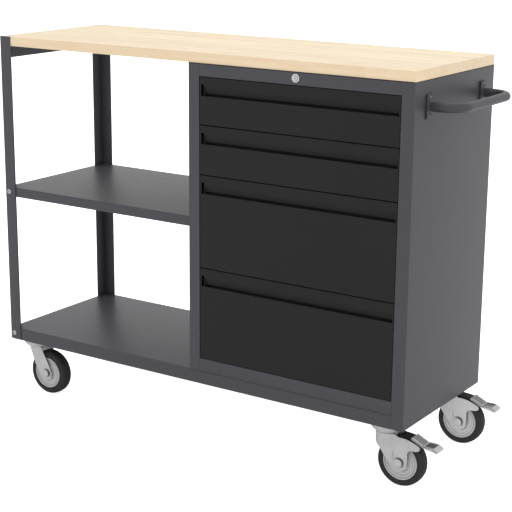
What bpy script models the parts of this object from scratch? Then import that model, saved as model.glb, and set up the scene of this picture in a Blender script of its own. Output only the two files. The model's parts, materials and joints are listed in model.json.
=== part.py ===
# Mobile workshop cart: sheet-steel cabinet with four drawers, two open
# shelves, a solid beech worktop, a push handle and four swivel casters.
# World units are metres, +Z up, with the origin on the floor under the middle
# of the cart's bounding box.  The drawers face -Y, the handle is at the +X end.
#
# Shapes are made in "bench" millimetres: x from the outer face of the left
# posts, y from the outer face of the front sheet, z from the lower edge of the
# base tray.  place() moves each piece into the world frame.
import math
from collections import namedtuple

import bmesh
import bpy
from mathutils import Vector

METRES_PER_MM = 0.001

# ------------------------------------------------------- overall dimensions
BODY_LENGTH = 1250.0       # outer face of left posts to right side panel
BODY_DEPTH = 420.0         # front sheet to rear sheet
BODY_HEIGHT = 850.0        # lower edge of tray to top of worktop
CASTER_HEIGHT = 155.0      # floor to lower edge of tray
HANDLE_REACH = 90.0        # handle beyond the right side panel
GAP = 0.3                  # clearance between touching pieces
HOLE_PLAY = 0.4            # hole radius beyond the radius of what passes through

SHEET = 1.5                # body sheet thickness
HALF_SHEET = SHEET / 2     # fold lines run along the middle of the sheet
POST_SHEET = 2.0
DRAWER_SHEET = 1.2
HALF_DRAWER_SHEET = DRAWER_SHEET / 2
INSET = POST_SHEET + GAP   # face of a piece that fits inside the posts

WORKTOP_THICKNESS = 25.0
WORKTOP_LOW = BODY_HEIGHT - WORKTOP_THICKNESS
TRAY_HEIGHT = 33.0
CASTER_PLATE_THICKNESS = 3.0

# cabinet
CABINET_X = 627.0                      # left face
STILE = 33.0                           # front stile width
CABINET_LOW = TRAY_HEIGHT + GAP
CABINET_HIGH = WORKTOP_LOW - GAP

# drawers, top one first; neighbouring fronts share an edge
DRAWER_EDGES = (793.0, 673.5, 548.5, 309.0, 68.0)
DRAWER_RIMS = (98.0, 98.0, 200.0, 200.0)   # box rim above the front's lower edge
DRAWERS = tuple(zip(DRAWER_EDGES, DRAWER_EDGES[1:], DRAWER_RIMS))

# lock
LOCK_X, LOCK_Z = 938.0, 810.0
HOUSING_RADIUS = 9.0
SHAFT_RADIUS = 4.0
CRANK_RADIUS, CRANK_ANGLE = 8.0, 45.0
BAR_X = 945.0
BAR_HALF_WIDTH = 12.0
BAR_FRONT, BAR_REAR = 404.5, 406.5

ORIGIN_X = (BODY_LENGTH + HANDLE_REACH) / 2
ORIGIN_Y = BODY_DEPTH / 2

# ----------------------------------------------------------------- finishes
Finish = namedtuple("Finish", "colour roughness metallic")
STEEL_GREY = Finish(colour=(0.105, 0.103, 0.114), roughness=0.55, metallic=0.2)
DRAWER_BLACK = Finish(colour=(0.030, 0.030, 0.031), roughness=0.55, metallic=0.1)
INNER_GREY = Finish(colour=(0.16, 0.16, 0.165), roughness=0.5, metallic=0.3)
ZINC = Finish(colour=(0.50, 0.50, 0.52), roughness=0.38, metallic=0.9)
BEECH = Finish(colour=(0.87, 0.72, 0.50), roughness=0.5, metallic=0.0)
RUBBER = Finish(colour=(0.045, 0.045, 0.047), roughness=0.8, metallic=0.0)
RIM_GREY = Finish(colour=(0.47, 0.47, 0.49), roughness=0.45, metallic=0.3)
CHROME = Finish(colour=(0.60, 0.60, 0.62), roughness=0.25, metallic=1.0)


# ------------------------------------------------------------- 2-D sections
def arc(centre_x, centre_y, radius, start, end, steps):
    """Points along an arc, angles in degrees."""
    angles = [math.radians(start + (end - start) * i / steps) for i in range(steps + 1)]
    return [(centre_x + radius * math.cos(a), centre_y + radius * math.sin(a))
            for a in angles]


def rounded_rect(x0, x1, y0, y1, radius, steps):
    return (arc(x1 - radius, y1 - radius, radius, 0, 90, steps)
            + arc(x0 + radius, y1 - radius, radius, 90, 180, steps)
            + arc(x0 + radius, y0 + radius, radius, 180, 270, steps)
            + arc(x1 - radius, y0 + radius, radius, 270, 360, steps))


def bisectors(points):
    """Yield each point, the unit normal halving its bend, and the cosine of the half bend."""
    headings = [(b - a).normalized() for a, b in zip(points, points[1:])]
    normals = [Vector((-heading.y, heading.x)) for heading in headings]
    for point, before, after in zip(points, normals[:1] + normals, normals + normals[-1:]):
        bisector = (before + after).normalized()
        yield point, bisector, bisector.dot(before)


def folded_sheet(path, thickness):
    """Folded-sheet section: a centreline thickened with mitred bends."""
    least_cosine = 0.3     # keeps the mitre of a very sharp fold short
    left, right = [], []
    for point, bisector, cosine in bisectors([Vector(p) for p in path]):
        offset = bisector * (thickness / 2.0 / max(least_cosine, cosine))
        left.append(point + offset)
        right.append(point - offset)
    return [tuple(point) for point in left + right[::-1]]


def shift_x(points, distance):
    return [(x + distance, z) for x, z in points]


# ------------------------------------------------------------------- solids
def to_solid(work, smooth=False):
    """Temporary object with outward normals from a bmesh in bench mm."""
    bmesh.ops.recalc_face_normals(work, faces=work.faces)
    mesh = bpy.data.meshes.new("tmp")
    work.to_mesh(mesh)
    work.free()
    solid = bpy.data.objects.new("tmp", mesh)
    solid["smooth"] = smooth
    bpy.context.scene.collection.objects.link(solid)
    return solid


def box(x0, x1, y0, y1, z0, z1):
    work = bmesh.new()
    bmesh.ops.create_cube(work, size=1.0)
    for vert in work.verts:
        vert.co = Vector((x0 + (vert.co.x + 0.5) * (x1 - x0),
                          y0 + (vert.co.y + 0.5) * (y1 - y0),
                          z0 + (vert.co.z + 0.5) * (z1 - z0)))
    return to_solid(work)


def section_point(point, axis, along):
    """Section point in 3-D; sections are (y, z), (x, z) or (x, y) for X, Y or Z."""
    first, second = point
    if axis == "X":
        return Vector((along, first, second))
    if axis == "Y":
        return Vector((first, along, second))
    return Vector((first, second, along))


def prism(section, axis, start, end, smooth=False):
    """Section polygon extruded along an axis."""
    work = bmesh.new()
    face = work.faces.new([work.verts.new(section_point(p, axis, start)) for p in section])
    extruded = bmesh.ops.extrude_face_region(work, geom=[face])
    move = section_point((0, 0), axis, end) - section_point((0, 0), axis, start)
    verts = [item for item in extruded["geom"] if isinstance(item, bmesh.types.BMVert)]
    bmesh.ops.translate(work, vec=move, verts=verts)
    return to_solid(work, smooth)


def clean(work):
    bmesh.ops.remove_doubles(work, verts=work.verts, dist=1e-4)
    bmesh.ops.dissolve_degenerate(work, edges=work.edges, dist=1e-5)


def lathe(profile, centre, axis, steps, closed=True):
    """Profile of (radius, distance along axis) pairs spun about an axis.

    closed=True joins the last point to the first for a ring; a profile that
    starts and ends on the axis needs closed=False."""
    work = bmesh.new()
    centre = Vector(centre)
    along, side = {"Y": (Vector((0, 1, 0)), Vector((1, 0, 0))),
                   "Z": (Vector((0, 0, 1)), Vector((1, 0, 0)))}[axis]
    verts = [work.verts.new(centre + side * radius + along * distance)
             for radius, distance in profile]
    edges = [work.edges.new(pair) for pair in zip(verts, verts[1:])]
    if closed:
        edges.append(work.edges.new((verts[-1], verts[0])))
    bmesh.ops.spin(work, geom=verts + edges, cent=centre, axis=along, angle=2 * math.pi,
                   steps=steps, use_merge=True)
    clean(work)
    return to_solid(work, smooth=True)


def rod(centre, axis, radius, start, end, steps=16):
    return lathe([(0, start), (radius, start), (radius, end), (0, end)],
                 centre, axis, steps, closed=False)


def combine(solid, tools, operation):
    """Boolean the tools into the solid and keep the result as plain mesh."""
    smooth = solid["smooth"] or any(tool["smooth"] for tool in tools)
    for tool in tools:
        modifier = solid.modifiers.new("cut", "BOOLEAN")
        modifier.operation = operation
        modifier.solver = "EXACT"
        modifier.object = tool
    graph = bpy.context.evaluated_depsgraph_get()
    mesh = bpy.data.meshes.new_from_object(solid.evaluated_get(graph))
    solid.modifiers.clear()
    solid.data = mesh
    for tool in tools:
        bpy.data.objects.remove(tool, do_unlink=True)
    work = bmesh.new()
    work.from_mesh(mesh)
    clean(work)
    work.to_mesh(mesh)
    work.free()
    solid["smooth"] = smooth
    return solid


def cut(solid, *tools):
    return combine(solid, tools, "DIFFERENCE")


def join(solid, *tools):
    return combine(solid, tools, "UNION")


# ------------------------------------------------------- naming and placing
world_origins = {}         # object name -> world position of its origin


def set_frame(item, name, origin, parent):
    """Name an object and put its origin, given in bench mm, in the world."""
    item.name = name
    world = Vector(((origin.x - ORIGIN_X) * METRES_PER_MM,
                    (origin.y - ORIGIN_Y) * METRES_PER_MM,
                    (origin.z + CASTER_HEIGHT) * METRES_PER_MM))
    world_origins[name] = world
    item.parent = parent
    item.location = world - (world_origins[parent.name] if parent else Vector())


def make_material(name, finish):
    material = bpy.data.materials.new(name)
    material.use_nodes = True
    shader = material.node_tree.nodes["Principled BSDF"]
    shader.inputs["Base Color"].default_value = (*finish.colour, 1.0)
    shader.inputs["Roughness"].default_value = finish.roughness
    shader.inputs["Metallic"].default_value = finish.metallic
    return material


def place(name, solid, origin, finish, parent=None):
    """Finish a piece: metres, origin, parent, own material and shading."""
    origin = Vector(origin)
    mesh = solid.data
    for vert in mesh.vertices:
        vert.co = (vert.co - origin) * METRES_PER_MM
    mesh.name = name
    set_frame(solid, name, origin, parent)
    mesh.materials.clear()
    mesh.materials.append(make_material(name, finish))
    if solid["smooth"]:
        mesh.shade_smooth()
        mesh.set_sharp_from_angle(angle=math.radians(35))
    del solid["smooth"]


def joint(name, origin, parent=None):
    """Empty on a joint axis; it carries the pieces that move together."""
    empty = bpy.data.objects.new(name, None)
    bpy.context.scene.collection.objects.link(empty)
    set_frame(empty, name, Vector(origin), parent)
    return empty


# ------------------------------------------- tray, shelf, posts and worktop
SHELF_TOP, SHELF_HEIGHT = 438.0, 26.0
POST_WIDTH_X, POST_WIDTH_Y = 36.0, 40.0    # post flange widths
END_RAIL_HEIGHT, END_RAIL_FLANGE = 36.0, 24.0
WINDOW_MARGIN_X, WINDOW_MARGIN_Y = 125.0, 30.0     # around the tray's opening
BOLT_X = 14.0
BOLT_LEVELS = {"base": 17.0, "mid": 425.0}
BOLT_RADIUS, BOLT_LENGTH = 3.0, 8.5
BOLT_HEAD_RADIUS, BOLT_HEAD_HEIGHT = 7.0, 2.7
# label, y of the outer face, outward direction
FACES = (("front", 0.0, -1), ("rear", BODY_DEPTH, 1))


def bolt_hole(face_y, outward, z):
    ends = sorted((-9 * outward, 5 * outward))
    return rod((BOLT_X, face_y, z), "Y", BOLT_RADIUS + HOLE_PLAY, *ends, 12)


def bolt_holes(z):
    return [bolt_hole(face_y, outward, z) for _, face_y, outward in FACES]


def build_tray():
    """Base tray with an upper sheet and a flange for the caster plates."""
    right = BODY_LENGTH - SHEET - GAP
    inside = (INSET + SHEET, right - SHEET, INSET + SHEET, BODY_DEPTH - INSET - SHEET)
    flange_z = CASTER_PLATE_THICKNESS + GAP
    tray = cut(box(INSET, right, INSET, BODY_DEPTH - INSET, 0, TRAY_HEIGHT),
               box(*inside, -5, flange_z),
               box(*inside, flange_z + SHEET, TRAY_HEIGHT - SHEET),
               box(WINDOW_MARGIN_X, BODY_LENGTH - WINDOW_MARGIN_X,
                   WINDOW_MARGIN_Y, BODY_DEPTH - WINDOW_MARGIN_Y,
                   flange_z - 1, flange_z + SHEET + 1))
    tray = cut(tray, *bolt_holes(BOLT_LEVELS["base"]))
    place("base_tray", tray, (BODY_LENGTH / 2, BODY_DEPTH / 2, 0), STEEL_GREY)


def build_mid_shelf():
    low, right = SHELF_TOP - SHELF_HEIGHT, CABINET_X - GAP
    shelf = cut(box(INSET, right, INSET, BODY_DEPTH - INSET, low, SHELF_TOP),
                box(INSET + SHEET, right - SHEET, INSET + SHEET,
                    BODY_DEPTH - INSET - SHEET, low - 5, SHELF_TOP - SHEET),
                *bolt_holes(BOLT_LEVELS["mid"]))
    place("mid_shelf", shelf, (CABINET_X / 2, BODY_DEPTH / 2, SHELF_TOP), STEEL_GREY)


def build_posts():
    """Left corner posts, L sections with the corner outward."""
    front = [(0, 0), (POST_WIDTH_X, 0), (POST_WIDTH_X, POST_SHEET),
             (POST_SHEET, POST_SHEET), (POST_SHEET, POST_WIDTH_Y), (0, POST_WIDTH_Y)]
    rear = [(x, BODY_DEPTH - y) for x, y in front][::-1]
    for section, (face, face_y, outward) in zip((front, rear), FACES):
        holes = [bolt_hole(face_y, outward, z) for z in BOLT_LEVELS.values()]
        post = cut(prism(section, "Z", 0, BODY_HEIGHT), *holes)
        place("post_%s_left" % face, post, (0, face_y, 0), STEEL_GREY)


def build_end_rail():
    """Rail under the worktop between the posts."""
    low, fold_z = WORKTOP_LOW - END_RAIL_HEIGHT, WORKTOP_LOW - GAP - HALF_SHEET
    path = [(INSET + HALF_SHEET, low), (INSET + HALF_SHEET, fold_z),
            (INSET + END_RAIL_FLANGE, fold_z)]
    rail = prism(folded_sheet(path, SHEET), "Y", INSET, BODY_DEPTH - INSET)
    place("end_rail_left", rail, (INSET, BODY_DEPTH / 2, low), STEEL_GREY)


def build_post_bolts():
    """Dome-headed screws that clamp the tray and the shelf to the posts."""
    # radius, depth inward from the post face
    profile = [(0, BOLT_LENGTH), (BOLT_RADIUS, BOLT_LENGTH), (BOLT_RADIUS, -GAP)]
    for angle in (0, 30, 60):
        profile.append((BOLT_HEAD_RADIUS * math.cos(math.radians(angle)),
                        -GAP - BOLT_HEAD_HEIGHT * math.sin(math.radians(angle))))
    profile.append((0, -GAP - BOLT_HEAD_HEIGHT))
    for level, z in BOLT_LEVELS.items():
        for face, face_y, outward in FACES:
            centre = (BOLT_X, face_y, z)
            turned = [(radius, -outward * depth) for radius, depth in profile]
            place("post_bolt_%s_%s" % (face, level),
                  lathe(turned, centre, "Y", 16, closed=False), centre, ZINC)


def build_worktop():
    section = rounded_rect(INSET, BODY_LENGTH, INSET, BODY_DEPTH - INSET, 1.5, 2)
    place("worktop", prism(section, "Z", WORKTOP_LOW, BODY_HEIGHT),
          (BODY_LENGTH / 2, BODY_DEPTH / 2, WORKTOP_LOW), BEECH)


# ---------------------------------------------------------- cabinet carcass
REAR_FLANGE = 20.0
RAIL_LIP, RAIL_FLANGE = 12.0, 40.0     # depth of the rail's folds from the front face
RAIL_X0 = CABINET_X + STILE + GAP
RAIL_X1 = BODY_LENGTH - STILE - GAP
BACK_Y1 = BODY_DEPTH - SHEET - GAP     # rear face of the back panel
BACK_Y0 = BACK_Y1 - 1.3
GUIDE_PLAY = 0.6                       # lock bar edge to guide
GUIDE_OVERLAP = 0.6                    # guide feet into the back panel


def build_cabinet_sides():
    """Front stile, web and rear flange in one folded sheet per side."""
    rear = BODY_DEPTH - HALF_SHEET
    for side, face_x, inward, low in (("left", CABINET_X, 1, CABINET_LOW),
                                      ("right", BODY_LENGTH, -1, 0)):
        web = face_x + inward * HALF_SHEET
        path = [(face_x + inward * STILE, HALF_SHEET), (web, HALF_SHEET),
                (web, rear), (face_x + inward * REAR_FLANGE, rear)]
        place("cabinet_side_" + side,
              prism(folded_sheet(path, SHEET), "Z", low, CABINET_HIGH),
              (face_x, BODY_DEPTH / 2, low), STEEL_GREY)


def front_rail(lip_z, flange_z):
    """Folded rail across the cabinet front."""
    path = [(RAIL_LIP, lip_z), (HALF_SHEET, lip_z),
            (HALF_SHEET, flange_z), (RAIL_FLANGE, flange_z)]
    return prism(folded_sheet(path, SHEET), "X", RAIL_X0, RAIL_X1)


def build_front_rails():
    middle = (RAIL_X0 + RAIL_X1) / 2
    opening_high, opening_low = DRAWER_EDGES[0], DRAWER_EDGES[-1]
    top = cut(front_rail(opening_high + HALF_SHEET, CABINET_HIGH - HALF_SHEET),
              rod((LOCK_X, 0, LOCK_Z), "Y", HOUSING_RADIUS + HOLE_PLAY, -5, 6, 24))
    place("cabinet_top_rail", top, (middle, 0, opening_high), STEEL_GREY)
    bottom = front_rail(opening_low - HALF_SHEET, CABINET_LOW + HALF_SHEET)
    place("cabinet_bottom_rail", bottom, (middle, 0, CABINET_LOW), STEEL_GREY)


def bar_guide(front_y, low, high):
    """U bracket around the lock bar."""
    reach = BAR_HALF_WIDTH + GUIDE_PLAY + HALF_SHEET
    left, right = BAR_X - reach, BAR_X + reach
    foot = BACK_Y0 + GUIDE_OVERLAP
    path = [(left, foot), (left, front_y + HALF_SHEET),
            (right, front_y + HALF_SHEET), (right, foot)]
    return prism(folded_sheet(path, SHEET), "Z", low, high)


def build_cabinet_back():
    """Back panel with two lock bar guides; the upper one also carries the
    rear end of the lock shaft."""
    panel = box(CABINET_X + SHEET + GAP, BODY_LENGTH - SHEET - GAP,
                BACK_Y0, BACK_Y1, CABINET_LOW, CABINET_HIGH)
    upper = cut(bar_guide(393.0, LOCK_Z - 12, LOCK_Z + 12),
                rod((LOCK_X, 0, LOCK_Z), "Y", SHAFT_RADIUS + HOLE_PLAY, 380, 400))
    place("cabinet_back", join(panel, upper, bar_guide(402.3, 90.0, 112.0)),
          ((CABINET_X + BODY_LENGTH) / 2, BACK_Y1, CABINET_LOW), STEEL_GREY)


# ------------------------------------------------------------------- handle
HANDLE_Z = 764.0
HANDLE_Y = (67.5, 352.5)
HANDLE_PLATE = 5.0         # plate thickness
TUBE_RADIUS, TUBE_WALL, TUBE_BEND = 11.0, 1.5, 45.0
TUBE_SEGMENTS, BEND_STEPS = 16, 6


def build_handle_plates():
    for y, label in zip(HANDLE_Y, ("front", "rear")):
        section = rounded_rect(y - 15, y + 15, HANDLE_Z - 28, HANDLE_Z + 28, 4, 3)
        start = BODY_LENGTH + GAP
        place("handle_plate_" + label, prism(section, "X", start, start + HANDLE_PLATE),
              (BODY_LENGTH, y, HANDLE_Z), STEEL_GREY)


def build_handle_tube():
    """Level U of hollow tube, open at both ends."""
    start_x = BODY_LENGTH + HANDLE_PLATE + 2 * GAP
    bend_x = BODY_LENGTH + HANDLE_REACH - TUBE_RADIUS - TUBE_BEND
    front, rear = HANDLE_Y
    path = ([(start_x, front)]
            + arc(bend_x, front + TUBE_BEND, TUBE_BEND, -90, 0, BEND_STEPS)
            + arc(bend_x, rear - TUBE_BEND, TUBE_BEND, 0, 90, BEND_STEPS)
            + [(start_x, rear)])
    path = [Vector(point) for point in path]
    angles = [2 * math.pi * i / TUBE_SEGMENTS for i in range(TUBE_SEGMENTS)]
    work = bmesh.new()

    def bridge(ring, other):
        for i in range(TUBE_SEGMENTS):
            j = (i + 1) % TUBE_SEGMENTS
            work.faces.new((ring[i], ring[j], other[j], other[i]))

    shells = []
    for radius in (TUBE_RADIUS, TUBE_RADIUS - TUBE_WALL):
        rings = [[work.verts.new((point.x + normal.x * radius * math.cos(angle),
                                  point.y + normal.y * radius * math.cos(angle),
                                  HANDLE_Z + radius * math.sin(angle)))
                  for angle in angles]
                 for point, normal, _ in bisectors(path)]
        for ring, following in zip(rings, rings[1:]):
            bridge(ring, following)
        shells.append(rings)
    outer, inner = shells
    for end in (0, -1):
        bridge(outer[end], inner[end])
    place("handle_tube", to_solid(work, smooth=True),
          (start_x, (front + rear) / 2, HANDLE_Z), STEEL_GREY)


# --------------------------------------------------------------------- lock
LOCK_CENTRE = (LOCK_X, 0, LOCK_Z)
PIN_X = LOCK_X + CRANK_RADIUS * math.cos(math.radians(CRANK_ANGLE))
PIN_Z = LOCK_Z + CRANK_RADIUS * math.sin(math.radians(CRANK_ANGLE))
# radius, y: a collar on the rail face and a sleeve behind it
HOUSING_PROFILE = [(6.3, -2.5), (10.4, -2.5), (10.4, -GAP), (HOUSING_RADIUS, -GAP),
                   (HOUSING_RADIUS, 22), (6.3, 22)]
PLUG_REAR = 24.0
ARM_RADIUS = 5.0
BAR_LOW, BAR_HIGH = 80.0, 822.5
FINGER_RISE = 22.6         # hook finger's middle above the box rim
FINGER_HALF = 0.75         # half its thickness
FINGER_DROP = 9.0          # hook tip below its middle


def build_lock():
    place("lock_housing", lathe(HOUSING_PROFILE, LOCK_CENTRE, "Y", 24), LOCK_CENTRE, CHROME)
    turn = joint("lock_turn", LOCK_CENTRE)
    key_slot = box(LOCK_X - 0.6, LOCK_X + 0.6, -4, 5, LOCK_Z - 4, LOCK_Z + 4)
    plug = cut(rod(LOCK_CENTRE, "Y", 5.9, -2.9, PLUG_REAR, 24), key_slot)
    place("lock_plug", plug, LOCK_CENTRE, CHROME, turn)

    # shaft with a crank arm and a pin at its rear end
    arm = prism(arc(PIN_X, PIN_Z, ARM_RADIUS, CRANK_ANGLE - 90, CRANK_ANGLE + 90, 6)
                + arc(LOCK_X, LOCK_Z, ARM_RADIUS, CRANK_ANGLE + 90, CRANK_ANGLE + 270, 6),
                "Y", 399.5, 402.5, smooth=True)
    shaft = join(rod(LOCK_CENTRE, "Y", SHAFT_RADIUS, PLUG_REAR + GAP, 401), arm,
                 rod((PIN_X, 0, PIN_Z), "Y", 2.2, 401, 409, 12))
    place("lock_shaft", shaft, (LOCK_X, PLUG_REAR, LOCK_Z), ZINC, turn)


def build_lock_bar():
    """Strip with one hook finger above each drawer's rear catch."""
    hook_front, hook_rear = 399.45, 400.95
    section = [(BAR_REAR, BAR_LOW), (BAR_REAR, BAR_HIGH), (BAR_FRONT, BAR_HIGH)]
    for _, bottom, rim in DRAWERS:
        z = bottom + rim + FINGER_RISE
        section += [(BAR_FRONT, z + FINGER_HALF), (hook_front, z + FINGER_HALF),
                    (hook_front, z - FINGER_DROP), (hook_rear, z - FINGER_DROP),
                    (hook_rear, z - FINGER_HALF), (BAR_FRONT, z - FINGER_HALF)]
    section.append((BAR_FRONT, BAR_LOW))
    bar = prism(section, "X", BAR_X - BAR_HALF_WIDTH, BAR_X + BAR_HALF_WIDTH)
    pin_slot = box(940.6, 949.2, BAR_FRONT - 2, BAR_REAR + 2, PIN_Z - 2.75, PIN_Z + 2.75)
    place("lock_bar", cut(bar, pin_slot), (BAR_X, BAR_FRONT, BAR_LOW), ZINC)


# ------------------------------------------------------------------ drawers
FRONT_X0 = CABINET_X + STILE + 1.5
FRONT_X1 = BODY_LENGTH - STILE - 1.5
FRONT_MIDDLE = (FRONT_X0 + FRONT_X1) / 2
FRONT_DEPTH = 20.0                 # folded depth of a drawer front
FRONT_MARGIN = 1.0                 # front's edges inside its drawer's share
GRIP_TOP, GRIP_LOW = 18.0, 46.5    # finger slot below the front's top edge
GRIP_MARGIN, GRIP_END = 6.0, 10.5  # slot and scoop ends inside the front's ends
GRIP_DEPTH = 8.0
BOX_X0, BOX_X1 = 674.0, 1203.0
BOX_Y0, BOX_Y1 = FRONT_DEPTH + GAP, 397.0
BOX_RAISE = 8.0                    # box floor above the drawer's lower edge
RUNNER_RISE = 30.0                 # runner axis above the box floor
RIB_REACH, RIB_HALF = 11.0, 7.4    # rib fold lines from box flank and runner axis
CHANNEL_HALF = 9.8                 # half height of the runner channel
CHANNEL_WEB, CHANNEL_LIP = 13.4, 2.0   # its web and lips from the box flank
STANDOFF_RISE = 16.0               # stand-off's top above the runner axis


def drawer_front(low, high):
    """Folded pan open to the rear, with a finger slot and a scoop behind it."""
    slot_high, slot_low = high - GRIP_TOP, high - GRIP_LOW
    pan = cut(box(FRONT_X0, FRONT_X1, 0, FRONT_DEPTH, low, high),
              box(FRONT_X0 + DRAWER_SHEET, FRONT_X1 - DRAWER_SHEET, DRAWER_SHEET,
                  FRONT_DEPTH + 5, low + DRAWER_SHEET, high - DRAWER_SHEET),
              box(FRONT_X0 + GRIP_MARGIN, FRONT_X1 - GRIP_MARGIN, -5, DRAWER_SHEET + 2,
                  slot_low, slot_high))
    face = HALF_DRAWER_SHEET
    path = [(face, slot_high + 4), (face, slot_high - 0.5), (GRIP_DEPTH, slot_low + 2),
            (GRIP_DEPTH, slot_low - 10), (face + 2.4, slot_low - 10),
            (face + 2.4, slot_low - face), (face, slot_low - face)]
    scoop = prism(folded_sheet(path, DRAWER_SHEET), "X",
                  FRONT_X0 + GRIP_END, FRONT_X1 - GRIP_END)
    return join(pan, scoop)


def drawer_box(floor, rim, axis_z):
    """Open-topped tray with a rib along each flank and a rear catch."""
    tray = cut(box(BOX_X0, BOX_X1, BOX_Y0, BOX_Y1, floor, rim),
               box(BOX_X0 + DRAWER_SHEET, BOX_X1 - DRAWER_SHEET, BOX_Y0 + DRAWER_SHEET,
                   BOX_Y1 - DRAWER_SHEET, floor + DRAWER_SHEET, rim + 5))
    ribs = []
    for inward, flank in ((1, BOX_X0), (-1, BOX_X1)):
        root, crest = flank + inward * HALF_DRAWER_SHEET, flank - inward * RIB_REACH
        path = [(root, axis_z + RIB_HALF), (crest, axis_z + RIB_HALF),
                (crest, axis_z - RIB_HALF), (root, axis_z - RIB_HALF)]
        ribs.append(prism(folded_sheet(path, DRAWER_SHEET), "Y", 26, 396))
    path = [(BOX_Y1 - HALF_DRAWER_SHEET, rim - HALF_DRAWER_SHEET),
            (403.4, rim - HALF_DRAWER_SHEET), (403.4, rim + 8)]
    catch = prism(folded_sheet(path, DRAWER_SHEET), "X",
                  BAR_X - BAR_HALF_WIDTH, BAR_X + BAR_HALF_WIDTH)
    return join(tray, *ribs, catch)


def build_runners(number, axis_z):
    """A C channel on a folded stand-off from each side panel."""
    outer, inner = CHANNEL_HALF, CHANNEL_HALF - DRAWER_SHEET
    start, end = 24, 404
    for side, inward, wall, flank in (
            ("left", 1, CABINET_X + SHEET + GAP, BOX_X0),
            ("right", -1, BODY_LENGTH - SHEET - GAP, BOX_X1)):
        lip, web = flank - inward * CHANNEL_LIP, flank - inward * CHANNEL_WEB
        wall_in, web_in = wall + inward * DRAWER_SHEET, web + inward * DRAWER_SHEET
        # x, height from the runner axis
        section = [(wall, -outer), (lip, -outer), (lip, -inner), (web_in, -inner),
                   (web_in, inner), (lip, inner), (lip, outer), (web, outer),
                   (web, -inner), (wall_in, -inner), (wall_in, STANDOFF_RISE),
                   (wall, STANDOFF_RISE)]
        section = [(x, axis_z + z) for x, z in section]
        place("runner_%d_%s" % (number, side), prism(section, "Y", start, end),
              (wall, start, axis_z), ZINC)


def build_drawer(number, top, bottom, rim):
    low, high = bottom + FRONT_MARGIN, top - FRONT_MARGIN
    origin = (FRONT_MIDDLE, 0, low)
    slide = joint("drawer_%d_slide" % number, origin)
    place("drawer_%d_front" % number, drawer_front(low, high), origin, DRAWER_BLACK, slide)
    floor = bottom + BOX_RAISE
    axis_z = floor + RUNNER_RISE
    place("drawer_%d_box" % number, drawer_box(floor, bottom + rim, axis_z),
          ((BOX_X0 + BOX_X1) / 2, BOX_Y0, floor), INNER_GREY, slide)
    build_runners(number, axis_z)


# ------------------------------------------------------------------ casters
# Outlines below are (x from the swivel axis, z); wheels trail towards +X.
WHEEL_RADIUS = 62.5
TRAIL = 43.0                       # axle beyond the swivel axis
AXLE_Z = WHEEL_RADIUS - CASTER_HEIGHT
AXLE_RADIUS = 6.0
AXLE_BORE = AXLE_RADIUS + HOLE_PLAY
LEG_IN, LEG_OUT = 20.5, 23.5       # fork leg faces either side of the wheel
CROWN_TOP, CROWN_LOW = -24.0, -29.0    # fork crown below the bearing dish
CROWN_RADIUS = 29.5
CROWN_BORE = 7.5
LEG_TOP = CROWN_TOP - 0.2
PIVOT_X, PIVOT_Z = 44.5, -19.5     # brake pedal pivot
# label, swivel x, swivel y, braked
CASTERS = (("front_left", 64.0, 46.5, False), ("rear_left", 64.0, 373.5, False),
           ("front_right", 1186.0, 46.5, True), ("rear_right", 1186.0, 373.5, True))

# radius, distance along the axle
TYRE_PROFILE = [
    (46.0, -13.0), (50.0, -16.0), (55.0, -17.0), (60.3, -13.5), (62.5, -6.0),
    (62.5, 6.0), (60.3, 13.5), (55.0, 17.0), (50.0, 16.0), (46.0, 13.0)]
RIM_PROFILE = [
    (AXLE_BORE, -18.0), (13.0, -18.0), (14.0, -9.0), (38.0, -7.0), (41.0, -15.0),
    (45.6, -15.0), (45.6, 15.0), (41.0, 15.0), (38.0, 7.0), (14.0, 9.0),
    (13.0, 18.0), (AXLE_BORE, 18.0)]
AXLE_PROFILE = [
    (0, -29.4), (8.6, -29.4), (10.6, -28.0), (10.6, -LEG_OUT - GAP),
    (AXLE_RADIUS, -LEG_OUT - GAP), (AXLE_RADIUS, LEG_OUT + GAP),
    (10.6, LEG_OUT + GAP), (10.6, 28.0), (8.6, 29.4), (0, 29.4)]
# radius, z: bearing dish and, below it, the kingpin with its rivet head
DISH_PROFILE = [
    (0, 1.5), (42, 1.5), (42, -8), (37.4, -17), (30.6, -23.6), (7, -23.6),
    (7, -29.4), (11, -29.4), (11, -31.8), (0, -31.8)]
CROWN_PROFILE = [
    (CROWN_BORE, CROWN_TOP), (CROWN_RADIUS, CROWN_TOP), (CROWN_RADIUS, CROWN_LOW + 1),
    (CROWN_RADIUS - 1, CROWN_LOW), (CROWN_BORE, CROWN_LOW)]
# leaning strap from the crown down to a round end at the axle
PLAIN_LEG = (
    [(30.6, LEG_TOP), (-14.0, LEG_TOP), (-6.0, -41.2), (4.4, -68.3), (15.0, -88.0)]
    + arc(TRAIL, AXLE_Z, 21.0, -153, 5, 10)
    + [(60.6, -76.5), (48.5, -53.0), (37.0, -34.4)])
# wide cheek with a nose towards +X, beside the brake pedal
BRAKED_LEG = (
    [(-19.6, LEG_TOP), (-19.5, -43.7), (-14.3, -57.0), (-7.1, -66.5), (2.9, -80.9),
     (13.0, -93.0)]
    + arc(TRAIL, AXLE_Z, 22.0, -153, -14, 8)
    + [(66.0, -84.0), (65.8, -63.0), (73.0, -56.0), (89.0, -55.0), (97.0, -51.5),
       (100.8, -44.0), (97.0, -36.9), (87.0, -32.7), (78.5, -29.2), (69.0, -26.2),
       (57.0, LEG_TOP)])
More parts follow.
